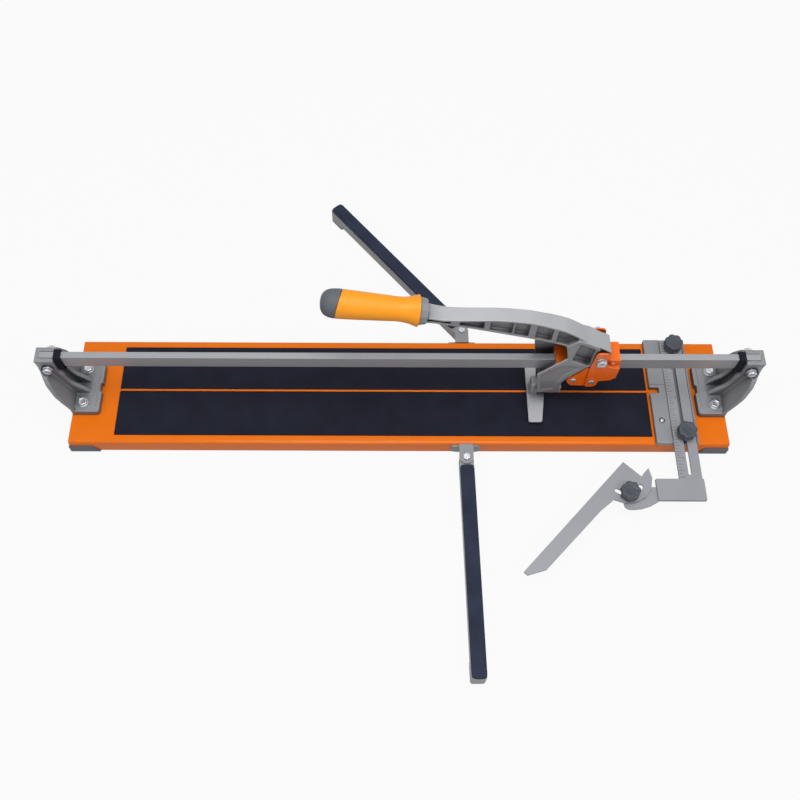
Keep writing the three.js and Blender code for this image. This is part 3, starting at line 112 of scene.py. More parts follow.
def reckoned(tree: bpy.types.NodeTree, step: str,
             *terms: bpy.types.NodeSocket | float) -> bpy.types.NodeSocket:
    """Adds one step of arithmetic to a material.

    Args:
        tree: the material's nodes.
        step: Blender's name of the step.
        terms: the sockets or numbers that it works on.

    Returns:
        Its result.
    """
    node = tree.nodes.new("ShaderNodeMath")
    node.operation = step
    for socket, term in zip(node.inputs, terms):
        if isinstance(term, bpy.types.NodeSocket):
            tree.links.new(term, socket)
        else:
            socket.default_value = term
    return node.outputs["Value"]
@dataclass(frozen=True)
class Finish:
    """How one kind of surface looks.

    Args:
        name: plain name of the finish.
        slot: material slot of the record that it belongs to; not used.
        colour: 8-bit sRGB colour.
        grain: pattern of the surface.
        grain_mm: size of the pattern.
        metallic: share of bare metal.
        roughness: mean roughness.
        rough_spread: how far the roughness strays with the pattern.
        tint: how far the colour strays, as a share.
        bump: depth of the relief in millimetres.
        coat: weight of a clear coat.
        specular: level of the plain reflection.
        hollow: painted shade, how much darker the finish is in its hollows, by how little sky is open over
            them.
        sides: painted shade, how much darker it is on the faces that `marked` records as turned sideways.
    """

    name: str
    slot: str
    colour: tuple[int, int, int]
    grain: Grain
    grain_mm: float
    metallic: float = 0.0
    roughness: float = 0.5
    rough_spread: float = 0.08
    tint: float = 0.06
    bump: float = 0.02
    coat: float = 0.0
    specular: float = 0.5
    hollow: float = 0.0
    sides: float = 0.0

    def material(self) -> bpy.types.Material:
        """Makes the finish's material on first use.

        Returns:
            The material.
        """
        known = bpy.data.materials.get(self.name)
        if known:
            return known
        material = bpy.data.materials.new(self.name)
        material.use_nodes = True
        tree = material.node_tree
        shader = tree.nodes["Principled BSDF"]
        shader.inputs["Metallic"].default_value = self.metallic
        shader.inputs["Specular IOR Level"].default_value = self.specular
        shader.inputs["Coat Weight"].default_value = self.coat
        shader.inputs["Coat Roughness"].default_value = COAT_ROUGHNESS
        coordinates = tree.nodes.new("ShaderNodeTexCoord")
        stretch = tree.nodes.new("ShaderNodeMapping")
        drawn = SCRATCH_STRETCH if self.grain is Grain.BRUSHED else 1
        stretch.inputs["Scale"].default_value = (drawn, 1, 1)
        tree.links.new(coordinates.outputs["Object"], stretch.inputs["Vector"])
        fine = self._pattern(tree, stretch.outputs["Vector"])
        broad = tree.nodes.new("ShaderNodeTexNoise")
        broad.inputs["Scale"].default_value = 1 / (CLOUD_MM * MM)
        broad.inputs["Detail"].default_value = 3
        tree.links.new(stretch.outputs["Vector"], broad.inputs["Vector"])
        self._colour(tree, shader, fine, broad.outputs["Fac"])
        self._roughness(tree, shader, fine, broad.outputs["Fac"])
        relief = tree.nodes.new("ShaderNodeBump")
        relief.inputs["Strength"].default_value = RELIEF_STRENGTH
        relief.inputs["Distance"].default_value = self.bump * MM
        tree.links.new(fine, relief.inputs["Height"])
        tree.links.new(relief.outputs["Normal"], shader.inputs["Normal"])
        return material

    def _pattern(self, tree: bpy.types.NodeTree, vector: bpy.types.NodeSocket) -> bpy.types.NodeSocket:
        """Adds the fine pattern.

        Args:
            tree: the material's nodes.
            vector: coordinates to read.

        Returns:
            The pattern's value, from 0 to 1.
        """
        foam = self.grain is Grain.FOAM
        pattern = tree.nodes.new("ShaderNodeTexVoronoi" if foam else "ShaderNodeTexNoise")
        pattern.inputs["Scale"].default_value = 1 / (self.grain_mm * MM)
        tree.links.new(vector, pattern.inputs["Vector"])
        if foam:
            return pattern.outputs["Distance"]
        pattern.inputs["Detail"].default_value = 2 if self.grain is Grain.PAINT else 5
        pattern.inputs["Roughness"].default_value = 0.6
        return pattern.outputs["Fac"]

    def _colour(self, tree: bpy.types.NodeTree, shader: bpy.types.Node, fine: bpy.types.NodeSocket,
                broad: bpy.types.NodeSocket) -> None:
        """Drives the base colour between a darker and a lighter shade of the finish.

        Args:
            tree: the material's nodes.
            shader: what takes the colour.
            fine: value of the fine pattern.
            broad: value of the broad clouds.
        """
        ramp = tree.nodes.new("ShaderNodeValToRGB")
        colour = linear(self.colour)[:3]
        shares = (1 - self.tint, 1 + self.tint)
        for stop, place, share in zip(ramp.color_ramp.elements, SHADE_STOPS, shares):
            stop.position = place
            stop.color = [min(1, c * share) for c in colour] + [1.0]
        tree.links.new(reckoned(tree, "MULTIPLY_ADD", fine, 0.5, broad), ramp.inputs["Fac"])
        # painted shade in hollows and on side faces, when the finish has any
        shade = self._paint_shade_in(tree, ramp.outputs["Color"]) if self.hollow else ramp.outputs["Color"]
        tree.links.new(shade, shader.inputs["Base Color"])

    def _paint_shade_in(self, tree: bpy.types.NodeTree, colour: bpy.types.NodeSocket) -> bpy.types.NodeSocket:
        """Paints shade into the colour: darker in hollows, where walls close off the sky, and on marked side
        faces.

        Args:
            tree: the material's nodes.
            colour: the colour on a free face.

        Returns:
            The darkened colour.
        """
        # painted shade in hollows, from how much sky is open over each point
        open_sky = tree.nodes.new("ShaderNodeAmbientOcclusion")
        open_sky.samples = 8
        open_sky.inputs["Distance"].default_value = HOLLOW_MM * MM
        depth = tree.nodes.new("ShaderNodeMapRange")
        depth.inputs["From Min"].default_value, depth.inputs["From Max"].default_value = HOLLOW_SKY
        depth.inputs["To Min"].default_value = 1 - self.hollow
        tree.links.new(open_sky.outputs["AO"], depth.inputs["Value"])
        # painted shade on the faces turned sideways
        side = tree.nodes.new("ShaderNodeAttribute")
        side.attribute_name = SIDE
        bright = reckoned(tree, "MULTIPLY_ADD", side.outputs["Fac"], -self.sides, 1.0)
        # multiplies the painted shade into the colour
        painted_shade = tree.nodes.new("ShaderNodeMix")
        painted_shade.data_type = "RGBA"
        painted_shade.blend_type = "MULTIPLY"
        painted_shade.inputs["Factor"].default_value = 1.0
        tree.links.new(colour, painted_shade.inputs["A"])
        tree.links.new(reckoned(tree, "MULTIPLY", depth.outputs["Result"], bright), painted_shade.inputs["B"])
        return painted_shade.outputs["Result"]

    def _roughness(self, tree: bpy.types.NodeTree, shader: bpy.types.Node, fine: bpy.types.NodeSocket,
                   broad: bpy.types.NodeSocket) -> None:
        """Drives the roughness with the sum of both patterns.

        Args:
            tree: the material's nodes.
            shader: what takes the roughness.
            fine: value of the fine pattern.
            broad: value of the broad clouds.
        """
        spread = tree.nodes.new("ShaderNodeMapRange")
        spread.inputs["From Min"].default_value, spread.inputs["From Max"].default_value = PATTERN_SUM
        spread.inputs["To Min"].default_value = max(0.02, self.roughness - self.rough_spread)
        spread.inputs["To Max"].default_value = min(1.0, self.roughness + self.rough_spread)
        tree.links.new(reckoned(tree, "ADD", fine, broad), spread.inputs["Value"])
        tree.links.new(spread.outputs["Result"], shader.inputs["Roughness"])


# hollow and sides below paint shade into the colour: darker in hollows and on side faces
BED_PAINT = Finish("bed paint", "orange_paint", (233, 114, 10), Grain.PAINT, 1.2,
                   roughness=0.4, tint=0.03, coat=0.12, specular=0.12)
CARRIAGE_PAINT = Finish("carriage paint", "carriage_paint", (254, 110, 8), Grain.PAINT, 1.0,
                        roughness=0.3, tint=0.03, coat=0.4, specular=0.2, hollow=0.45)
PAD_RUBBER = Finish("pad rubber", "pad_rubber", (28, 30, 41), Grain.MOULDED, 0.5,
                    roughness=0.8, tint=0.35, bump=0.08, specular=0.1)
ARM_FOAM = Finish("arm foam", "arm_foam", (48, 53, 70), Grain.FOAM, 0.5,
                  roughness=0.95, tint=0.3, bump=0.25, specular=0.1)
CAST_METAL = Finish("cast metal", "cast_metal", (139, 141, 145), Grain.CAST, 0.35,
                    metallic=0.2, bump=0.03, specular=0.2, hollow=0.65)
ZINC = Finish("zinc sheet", "zinc_sheet", (138, 137, 140), Grain.ROLLED, 3.0,
              metallic=0.2, roughness=0.42, bump=0.01, specular=0.2)
LEVER_METAL = Finish("lever metal", "aluminium", (174, 175, 179), Grain.CAST, 0.3,
                     metallic=0.18, roughness=0.46, specular=0.2, hollow=0.93, sides=0.32)
RULER_METAL = Finish("ruler metal", "aluminium", (146, 148, 153), Grain.CAST, 0.25,
                     metallic=0.2, bump=0.01, specular=0.2)
RAIL_STEEL = Finish("rail steel", "bright_steel", (157, 159, 163), Grain.BRUSHED, 0.4,
                    metallic=0.3, roughness=0.38, specular=0.2)
BOLT_STEEL = Finish("bolt steel", "bright_steel", (190, 192, 197), Grain.ROLLED, 0.8,
                    metallic=0.8, roughness=0.28)
DARK_STEEL = Finish("dark steel", "dark_steel", (70, 71, 74), Grain.ROLLED, 0.8,
                    metallic=1.0, roughness=0.4)
GREY_PLASTIC = Finish("grey plastic", "grey_plastic", (94, 99, 106), Grain.MOULDED, 0.3, specular=0.2)
KNOB_PLASTIC = Finish("knob plastic", "knob_plastic", (74, 78, 86), Grain.MOULDED, 0.3,
                      roughness=0.4, bump=0.03, specular=0.25)
GRIP_ORANGE = Finish("grip orange", "grip_orange", (252, 158, 30), Grain.MOULDED, 0.4,
                     roughness=0.42, tint=0.03, specular=0.3)
NYLON = Finish("nylon", "nylon", (60, 62, 66), Grain.MOULDED, 0.4)
MARK_INK = Finish("mark ink", "dark_steel", (40, 41, 44), Grain.MOULDED, 0.3, roughness=0.7)


# ---- Studio --------------------------------------------------------------------------------------


@dataclass
class Studio:
    """Floor, light and camera around the cutter.

    Args:
        camera_at: where the camera stands, with z above the bench.
        camera_down: degrees that it looks down.
        camera_roll: degrees that it leans to one side.
        camera_yaw: degrees that it looks to one side.
        lens: its focal length.
        shift: how far its lens is shifted across and up, as shares of its view.
        floor_size: side of the floor in metres.
        floor_gap: how far the floor lies below the feet.
        floor_colour: how much light the floor throws back.
        floor_glow: how much of the floor is plain white to the camera.
        horizon: strength of the sky's light near the floor.
        zenith: strength of it overhead.
        lamps: name, place in metres, side in metres and power in watts of each lamp.
    """

    camera_at: tuple[float, float, float] = (-22.3, -667.5, 1312.8)
    camera_down: float = 62.6
    camera_roll: float = 0.229
    camera_yaw: float = -0.016
    lens: float = 42.57
    shift: tuple[float, float] = (0.0198, -0.0093)
    floor_size: float = 60.0
    floor_gap: float = 0.3
    floor_colour: float = 0.45
    floor_glow: float = 0.93
    horizon: float = 0.1
    zenith: float = 0.4
    lamps: tuple[tuple[str, tuple[float, float, float], float, float], ...] = (
        ("overhead", (0.1, -0.1, 2.5), 1.3, 35),
        ("key", (1.0, -1.2, 2.0), 0.8, 9),
        ("fill", (-1.4, -0.6, 1.8), 1.2, 6),
        ("front", (-0.2, -2.6, 1.35), 0.6, 5.5))

    def camera(self) -> None:
        """Sets the camera at its standing point."""
        data = bpy.data.cameras.new("camera")
        data.lens = self.lens
        data.sensor_width = 36
        data.shift_x, data.shift_y = self.shift
        data.clip_end = 50
        camera = bpy.data.objects.new("camera", data)
        bpy.context.scene.collection.objects.link(camera)
        tilt = Matrix.Rotation(math.radians(90 - self.camera_down), 4, "X")
        roll = Matrix.Rotation(math.radians(self.camera_roll), 4, "Z")
        yaw = Matrix.Rotation(math.radians(self.camera_yaw), 4, "Z")
        camera.matrix_world = Matrix.Translation(at(*self.camera_at)) @ yaw @ tilt @ roll
        bpy.context.scene.camera = camera

    def floor(self) -> None:
        """Lays the white floor that keeps a soft shadow."""
        bpy.ops.mesh.primitive_plane_add(size=self.floor_size, location=at(0, 0, -self.floor_gap))
        floor = bpy.context.object
        floor.name = "floor"
        material = bpy.data.materials.new("floor white")
        material.use_nodes = True
        tree = material.node_tree
        shader = tree.nodes["Principled BSDF"]
        shader.inputs["Base Color"].default_value = (*[self.floor_colour] * 3, 1)
        shader.inputs["Roughness"].default_value = 0.9
        glow = tree.nodes.new("ShaderNodeEmission")
        mix = tree.nodes.new("ShaderNodeMixShader")
        tree.links.new(reckoned(tree, "MULTIPLY", self._seen(tree), self.floor_glow), mix.inputs["Fac"])
        tree.links.new(shader.outputs["BSDF"], mix.inputs[1])
        tree.links.new(glow.outputs["Emission"], mix.inputs[2])
        tree.links.new(mix.outputs["Shader"], tree.nodes["Material Output"].inputs["Surface"])
        floor.data.materials.append(material)

    def _seen(self, tree: bpy.types.NodeTree) -> bpy.types.NodeSocket:
        """Tells what the camera sees, itself or in a mirror or through glass.

        Args:
            tree: the nodes of the material or the world.

        Returns:
            1 or 0.
        """
        path = tree.nodes.new("ShaderNodeLightPath")
        seen = path.outputs["Is Camera Ray"]
        for ray in ("Is Glossy Ray", "Is Transmission Ray"):
            seen = reckoned(tree, "MAXIMUM", seen, path.outputs[ray])
        return seen

    def sky(self) -> None:
        """Lights the room from a sky that is white wherever it is seen."""
        world = bpy.data.worlds.new("studio")
        bpy.context.scene.world = world
        world.use_nodes = True
        tree = world.node_tree
        back = tree.nodes["Background"]
        back.inputs["Color"].default_value = (1, 1, 1, 1)
        place = tree.nodes.new("ShaderNodeTexCoord")
        height = tree.nodes.new("ShaderNodeSeparateXYZ")
        fade = tree.nodes.new("ShaderNodeMapRange")
        fade.inputs["To Min"].default_value = self.horizon
        fade.inputs["To Max"].default_value = self.zenith
        tree.links.new(place.outputs["Generated"], height.inputs["Vector"])
        tree.links.new(height.outputs["Z"], fade.inputs["Value"])
        strength = reckoned(tree, "MAXIMUM", self._seen(tree), fade.outputs["Result"])
        tree.links.new(strength, back.inputs["Strength"])

    def lamp(self, name: str, place: Vector, size: float, power: float) -> None:
        """Hangs a square soft lamp that looks at the cutter.

        Args:
            name: the lamp's name.
            place: where it hangs, in metres.
            size: side of the lamp in metres.
            power: watts.
        """
        data = bpy.data.lights.new(name, "AREA")
        data.size = size
        data.energy = power
        lamp = bpy.data.objects.new(name, data)
        lamp.location = place
        lamp.rotation_euler = (-place).to_track_quat("-Z", "Y").to_euler()
        bpy.context.scene.collection.objects.link(lamp)

    def build(self) -> None:
        """Sets up the whole studio."""
        bpy.context.scene.view_settings.view_transform = "Standard"
        self.sky()
        for name, place, size, power in self.lamps:
            self.lamp(name, Vector(place), size, power)
        self.floor()
        self.camera()


# ---- Bench work ----------------------------------------------------------------------------------


def focus(piece: bpy.types.Object) -> None:
    """Selects one piece alone and makes it the active one.

    Args:
        piece: the piece to select.
    """
    for other in bpy.context.selected_objects:
        other.select_set(False)
    piece.select_set(True)
    bpy.context.view_layer.objects.active = piece


@contextmanager
def editing(piece: bpy.types.Object, kind: str = "FACE") -> Iterator[bmesh.types.BMesh]:
    """Opens a piece in edit mode with nothing selected.

    Args:
        piece: the piece to shape.
        kind: what is selected, "VERT", "EDGE" or "FACE".

    Yields:
        The piece's shape, for selecting in.
    """
    focus(piece)
    bpy.ops.object.mode_set(mode="EDIT")
    bpy.ops.mesh.select_mode(type=kind)
    bpy.ops.mesh.select_all(action="DESELECT")
    try:
        yield bmesh.from_edit_mesh(piece.data)
    finally:
        bpy.ops.object.mode_set(mode="OBJECT")


def worked(piece: bpy.types.Object, kind: str, **settings: object) -> None:
    """Adds a modifier with these settings and applies it.

    Args:
        piece: the piece to work.
        kind: Blender's name of the modifier.
        settings: its values.
    """
    focus(piece)
    modifier = piece.modifiers.new(kind.lower(), kind)
    for key, value in settings.items():
        setattr(modifier, key, value)
    bpy.ops.object.modifier_apply(modifier=modifier.name)


def smooth(piece: bpy.types.Object, angle: float = 40) -> None:
    """Shades a piece smooth but for edges sharper than this many degrees."""
    focus(piece)
    bpy.ops.object.shade_smooth_by_angle(angle=math.radians(angle))


def blank(name: str, vertices: list[Vector], edges: list[tuple[int, int]],
          faces: list[list[int]]) -> bpy.types.Object:
    """Makes a new piece from its bare shape.

    Args:
        name: the piece's name.
        vertices: its points in metres.
        edges: the points that each edge joins.
        faces: the points around each face.

    Returns:
        The piece.
    """
    mesh = bpy.data.meshes.new(name)
    mesh.from_pydata(vertices, edges, faces)
    piece = bpy.data.objects.new(name, mesh)
    bpy.context.scene.collection.objects.link(piece)
    return piece


def copied(node: str) -> bpy.types.Object:
    """Copies a node's shape, with its loose triangles joined into whole faces.

    Args:
        node: the node to copy.

    Returns:
        The new piece.
    """
    piece = bpy.data.objects.new(f"{node}_made", frame["nodes"][node].data.copy())
    bpy.context.scene.collection.objects.link(piece)
    piece.data.materials.clear()
    focus(piece)
    if piece.data.has_custom_normals:
        bpy.ops.mesh.customdata_custom_splitnormals_clear()
    with editing(piece, "VERT"):
        bpy.ops.mesh.select_all(action="SELECT")
        bpy.ops.mesh.remove_doubles(threshold=WELD * MM)
        bpy.ops.mesh.dissolve_limited(angle_limit=math.radians(LEVEL))
    return piece


def bevelled(piece: bpy.types.Object, radius: float, steps: int, angle: float, **settings: object) -> None:
    """Rounds the edges of a piece.

    Args:
        piece: the piece to work.
        radius: size of the rounding.
        steps: facets across the rounding.
        angle: edges flatter than this many degrees stay.
        settings: further values of the modifier.
    """
    worked(piece, "BEVEL", width=radius * MM, segments=steps, limit_method="ANGLE",
           angle_limit=math.radians(angle), **settings)


def softened(piece: bpy.types.Object, radius: float, steps: int = 2,
             miter: str = "MITER_ARC") -> bpy.types.Object:
    """Rounds a piece's sharp edges and keeps its flat faces flat in their shading.

    Args:
        piece: the piece to work.
        radius: size of the rounding.
        steps: facets across the rounding.
        miter: Blender's name of how roundings meet at a corner.

    Returns:
        The same piece.
    """
    bevelled(piece, radius, steps, 32, use_clamp_overlap=True, miter_outer=miter)
    smooth(piece)
    worked(piece, "WEIGHTED_NORMAL", keep_sharp=True)
    return piece


def cast(node: str, grain: float, rounds: int = 3, keep: float = 1.0) -> bpy.types.Object:
    """Makes a node's shape again as a casting, with every edge and root softened.

    Args:
        node: the node to shape again.
        grain: millimetres of the cells that it is made of.
        rounds: passes of smoothing.
        keep: share of the faces that stays.

    Returns:
        The new piece.
    """
    piece = copied(node)
    worked(piece, "REMESH", mode="VOXEL", voxel_size=grain * MM, adaptivity=0.0)
    worked(piece, "SMOOTH", factor=0.5, iterations=rounds)
    if keep < 1:
        worked(piece, "DECIMATE", decimate_type="COLLAPSE", ratio=keep)
    smooth(piece, 60)
    return piece


def marked(piece: bpy.types.Object) -> bpy.types.Object:
    """Records on each point of a piece how far its surface is turned sideways, from 0 to 1, as the mask of
    the painted shade on side faces.

    Args:
        piece: the piece to mark.

    Returns:
        The same piece.
    """
    side = piece.data.attributes.new(SIDE, "FLOAT", "POINT")
    least, most = 0.5, 0.9
    for point, value in zip(piece.data.vertices, side.data):
        value.value = min(1.0, max(0.0, (abs(point.normal.y) - least) / (most - least)))
    return piece


def pointing(way: Vector) -> Matrix:
    """Returns the turn that takes up to this way."""
    return way.to_track_quat("Z", "Y").to_matrix().to_4x4()


def turned(name: str, profile: Outline, seat: Matrix, steps: int = 64) -> bpy.types.Object:
    """Spins a profile into a closed piece.

    Args:
        name: the piece's name.
        profile: radius and height of its corners, from the foot of the axis round to its top, or a
            closed ring.
        seat: where the foot of the axis stands, and which way it points.
        steps: facets around.

    Returns:
        The piece, shaded smooth.
    """
    ring = profile[0][0] > 0
    points = [Vector((radius, 0, height)) * MM for radius, height in profile]
    edges = [(i, i + 1) for i in range(len(points) - 1)] + ([(len(points) - 1, 0)] if ring else [])
    piece = blank(name, points, edges, [])
    with editing(piece, "VERT"):
        bpy.ops.mesh.select_all(action="SELECT")
        bpy.ops.mesh.spin(steps=steps, angle=math.tau, center=(0, 0, 0), axis=(0, 0, 1))
        bpy.ops.mesh.select_all(action="SELECT")
        bpy.ops.mesh.remove_doubles(threshold=SEAM * MM)
        bpy.ops.mesh.normals_make_consistent(inside=False)
    piece.data.transform(seat)
    smooth(piece, 32)
    return piece


def cross_seat(node: str) -> Matrix:
    """Finds the seat in the front end of a node, pointing to its rear end.

    Args:
        node: the node to sit in.

    Returns:
        The seat, on the node's middle line.
    """
    low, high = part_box(node)
    middle = (low + high) / 2
    return Matrix.Translation(Vector((middle.x, low.y, middle.z))) @ pointing(Vector((0, 1, 0)))


def joined(name: str, parts: list[bpy.types.Object]) -> bpy.types.Object:
    """Joins parts into one piece.

    Args:
        name: the piece's name.
        parts: what it is joined from.

    Returns:
        The piece.
    """
    focus(parts[0])
    for part in parts[1:]:
        part.select_set(True)
    bpy.ops.object.join()
    parts[0].name = name
    return parts[0]


def printed(name: str, strips: list[tuple[float, float, float, float]], face: float,
            ink: float) -> bpy.types.Object:
    """Prints flat strips on a level face.

    Args:
        name: the piece's name.
        strips: left, right, front and back edge of each strip, in metres.
        face: height of the face, in metres.
        ink: how far the strips stand proud of it.

    Returns:
        The strips as one piece.
    """
    sides = ((3, 2, 1, 0), (4, 5, 6, 7), (0, 1, 5, 4), (1, 2, 6, 5), (2, 3, 7, 6), (3, 0, 4, 7))
    points, faces = [], []
    for left, right, front, back in strips:
        corner = len(points)
        ring = ((left, front), (right, front), (right, back), (left, back))
        points += [Vector((x, y, z)) for z in (face - 0.05 * MM, face + ink * MM) for x, y in ring]
        faces += [[corner + i for i in side] for side in sides]
    return blank(name, points, [], faces)


def hexagon(name: str, seat: Matrix, across: float, height: float, dish: float = 0.0) -> bpy.types.Object:
    """Makes a bolt head or a nut with its corners turned off.

    Args:
        name: the piece's name.
        seat: the middle of its underside.
        across: over the flats.
        height: from its underside to its top.
        dish: how far its middle is sunk.

    Returns:
        The head or the nut.
    """
    reach, slope = across / math.sqrt(3), 0.6
    turns = [math.tau * (i + 0.5) / 6 for i in range(6)]
    points = [Vector((math.cos(turn), math.sin(turn), 0)) * reach * MM for turn in turns]
    piece = blank(name, points, [], [list(range(6))])
    with editing(piece):
        bpy.ops.mesh.select_all(action="SELECT")
        bpy.ops.mesh.extrude_region_move(TRANSFORM_OT_translate={"value": (0, 0, (height - slope) * MM)})
        bpy.ops.mesh.subdivide(number_cuts=1)
        for rise in (slope, -dish):
            bpy.ops.mesh.inset(thickness=0.09 * across * MM)
            bpy.ops.transform.translate(value=(0, 0, rise * MM))
        bpy.ops.mesh.select_all(action="SELECT")
        bpy.ops.mesh.normals_make_consistent(inside=False)
    bevelled(piece, 0.25, 2, 25)
    piece.data.transform(seat)
    smooth(piece, 40)
    return piece


def washer(seat: Matrix, hole: float, rim: float) -> bpy.types.Object:
    """Turns a washer with eased edges.

    Args:
        seat: the face that it lies on, pointing out of it.
        hole: radius of its hole.
        rim: its own radius.

    Returns:
        The washer.
    """
    edge = 0.3
    outer = [(rim - edge, 0), (rim, edge), (rim, WASHER - edge), (rim - edge, WASHER)]
    return turned("washer", [(hole, 0)] + outer + [(hole, WASHER)], seat, 48)


@dataclass(frozen=True)
class BoltSize:
    """Sizes of a hexagon bolt.

    Args:
        across: over the flats.
        head: height of the head.
        washer: radius of the washer.
        shank: radius of the shank.
        nut: height of the nut, 0 for none.
    """

    across: float
    head: float
    washer: float
    shank: float
    nut: float = 0.0


def bolt(name: str, seat: Matrix, size: BoltSize, grip: float, past: float) -> bpy.types.Object:
    """Makes a hexagon bolt on a washer, with its shank behind it and a nut on its far end.

    Args:
        name: the piece's name.
        seat: the face that the washer lies on, pointing out of it.
        size: its sizes.
        grip: how far the nut's face is behind the seat.
        past: how far the shank goes past that.

    Returns:
        The bolt as one piece.
    """
    shank, end, top = size.shank, -grip - past, WASHER + 0.2
    rod = [(0, end), (shank - 0.5, end), (shank, end + 0.5), (shank, top), (0, top)]
    raised = seat @ Matrix.Translation((0, 0, WASHER * MM))
    parts = [hexagon("head", raised, size.across, size.head, 0.4),
             washer(seat, shank + 0.2, size.washer), turned("shank", rod, seat, 32)]
    if size.nut:
        below = seat @ Matrix.Translation((0, 0, (-grip - size.nut) * MM))
        parts.append(hexagon("nut", below, size.across, size.nut))
    return joined(name, parts)


class Workshop:
    """Dresses finished pieces and fits them on their bodies."""

    def __init__(self) -> None:
        """Notes the body of every node."""
        bodies = frame["record"]["behaviour"]["bodies"]
        self.body = {node: body for body, nodes in bodies.items() for node in nodes}

    def fit(self, piece: bpy.types.Object, finish: Finish, *nodes: str,
            stands_for: bool = True) -> bpy.types.Object:
        """Gives a piece its finish and puts it on the body of the nodes that it stands for.

        Args:
            piece: the finished shape.
            finish: its surface.
            nodes: the nodes that it replaces, or the one that it is fixed to.
            stands_for: False for a fitting that is added to a node and replaces none.

        Returns:
            The same piece.
        """
        piece.data.materials.clear()
        piece.data.materials.append(finish.material())
        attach(piece, self.body[nodes[0]])
        if stands_for:
            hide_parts(*nodes)
        log.info("%s: %s, %d faces", piece.name, finish.name, len(piece.data.polygons))
        return piece

    def ease(self, node: str, finish: Finish, edge: float, steps: int = 2) -> bpy.types.Object:
        """Fits a node's own shape with its sharp edges rounded.

        Args:
            node: the node that it stands for.
            finish: its surface.
            edge: size of the rounding.
            steps: facets across the rounding.

        Returns:
            The piece.
        """
        return self.fit(softened(copied(node), edge, steps), finish, node)


# ---- Bed -----------------------------------------------------------------------------------------


@dataclass
class Bed:
    """The folded tray with its ridge, pads and feet.

    Args:
        shop: where pieces are fitted.
        fold: radius of the tray's bends.
        cut_edge: rounding of the sheet's cut edges.
        ridge_edge: rounding of the ridge.
        pad_edge: rounding of the rubber pads.
        foot_edge: rounding of the corner shoes.
    """

    shop: Workshop
    fold: float = 2.0
    cut_edge: float = 0.4
    ridge_edge: float = 0.5
    pad_edge: float = 0.7
    foot_edge: float = 0.8

    def tray(self) -> bpy.types.Object:
        """Rounds the bends of the sheet, then eases its cut edges.

        Returns:
            The tray.
        """
        piece = copied("base_tray")
        high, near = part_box("base_tray")[1], 0.05 * MM
        with editing(piece, "EDGE") as shape:
            for edge in shape.edges:
                ends = [v.co for v in edge.verts]
                top = all(end.z > high.z - near for end in ends)
                outside = any(all(abs(abs(end[i]) - high[i]) < near for end in ends) for i in (0, 1))
                edge.select_set(top and outside)
            bmesh.update_edit_mesh(piece.data)
            bpy.ops.mesh.bevel(offset=self.fold * MM, segments=5, affect="EDGES", clamp_overlap=True)
        return softened(piece, self.cut_edge, miter="MITER_SHARP")

    def build(self) -> None:
        """Makes the tray and all that is glued or pushed on it."""
        self.shop.fit(self.tray(), BED_PAINT, "base_tray")
        self.shop.ease("breaking_ridge", BED_PAINT, self.ridge_edge)
        for side in ("front", "rear"):
            pad = self.shop.ease(f"{side}_pad", PAD_RUBBER, self.pad_edge)
        for place in ("front_left", "front_right", "rear_left", "rear_right"):
            self.shop.ease(f"foot_{place}", GREY_PLASTIC, self.foot_edge)


# ---- Rail and its brackets -----------------------------------------------------------------------


@dataclass
class RailAndBrackets:
    """The rail, the two cast brackets that carry it and their bolts.

    Args:
        shop: where pieces are fitted.
        rail_edge: rounding of the rail's corners.
        sand: size of the cells that the castings are made of.
        buffer_edge: rounding of the rubber buffers.
        block_half: half the width of the block that clamps the rail.
        foot_bolt_size: sizes of the bolts that hold the brackets down.
        foot_bolt_top: how far their washers' undersides lie below their nodes' tops.
        foot_bolt_tail: how far the shank goes past its grip.
        clamp_bolt_size: sizes of the bolts that clamp the rail.
        clamp_bolt_tail: how far they go past the block.
    """

    shop: Workshop
    rail_edge: float = 0.6
    sand: float = 1.0
    buffer_edge: float = 1.0
    block_half: float = 14.4
    foot_bolt_size: BoltSize = BoltSize(across=12.0, head=5.5, washer=0.0, shank=4.0)
    foot_bolt_top: float = 6.8
    foot_bolt_tail: float = 1.2
    clamp_bolt_size: BoltSize = BoltSize(across=12.0, head=5.2, washer=7.4, shank=3.9, nut=6.0)
    clamp_bolt_tail: float = 9.0

    def foot_bolt(self, node: str) -> bpy.types.Object:
        """Makes the bolt that holds a bracket down, as wide and as long as its node.

        Args:
            node: the node that it stands for.

        Returns:
            The bolt.
        """
        low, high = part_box(node)
        size = replace(self.foot_bolt_size, washer=(high.x - low.x) / 2 / MM)
        middle = (low + high) / 2
        seat = Matrix.Translation(Vector((middle.x, middle.y, high.z - self.foot_bolt_top * MM)))
        grip = (high.z - low.z) / MM - self.foot_bolt_top - self.foot_bolt_tail
        return bolt(f"{node}_made", seat, size, grip, self.foot_bolt_tail)

    def clamp_bolt(self, node: str) -> bpy.types.Object:
        """Makes the bolt through a bracket's head that clamps the rail.

        Args:
            node: the node that it stands for.

        Returns:
            The bolt.
        """
        low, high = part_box(node)
        middle = (low + high) / 2
        seat = Matrix.Translation(Vector((middle.x, -self.block_half * MM, middle.z))) @ FORWARDS
        return bolt(f"{node}_made", seat, self.clamp_bolt_size, 2 * self.block_half, self.clamp_bolt_tail)

    def build(self) -> None:
        """Makes both ends and the bar between them."""
        self.shop.ease("rail", RAIL_STEEL, self.rail_edge)
        for side in ("left", "right"):
            self.shop.fit(cast(f"bracket_{side}", self.sand), CAST_METAL, f"bracket_{side}")
            self.shop.ease(f"rail_buffer_{side}", PAD_RUBBER, self.buffer_edge)
            node = f"rail_clamp_bolt_{side}"
            self.shop.fit(self.clamp_bolt(node), BOLT_STEEL, node)
            for row in ("front", "rear"):
                node = f"bracket_bolt_{side}_{row}"
                self.shop.fit(self.foot_bolt(node), BOLT_STEEL, node)


# ---- Side arms -----------------------------------------------------------------------------------


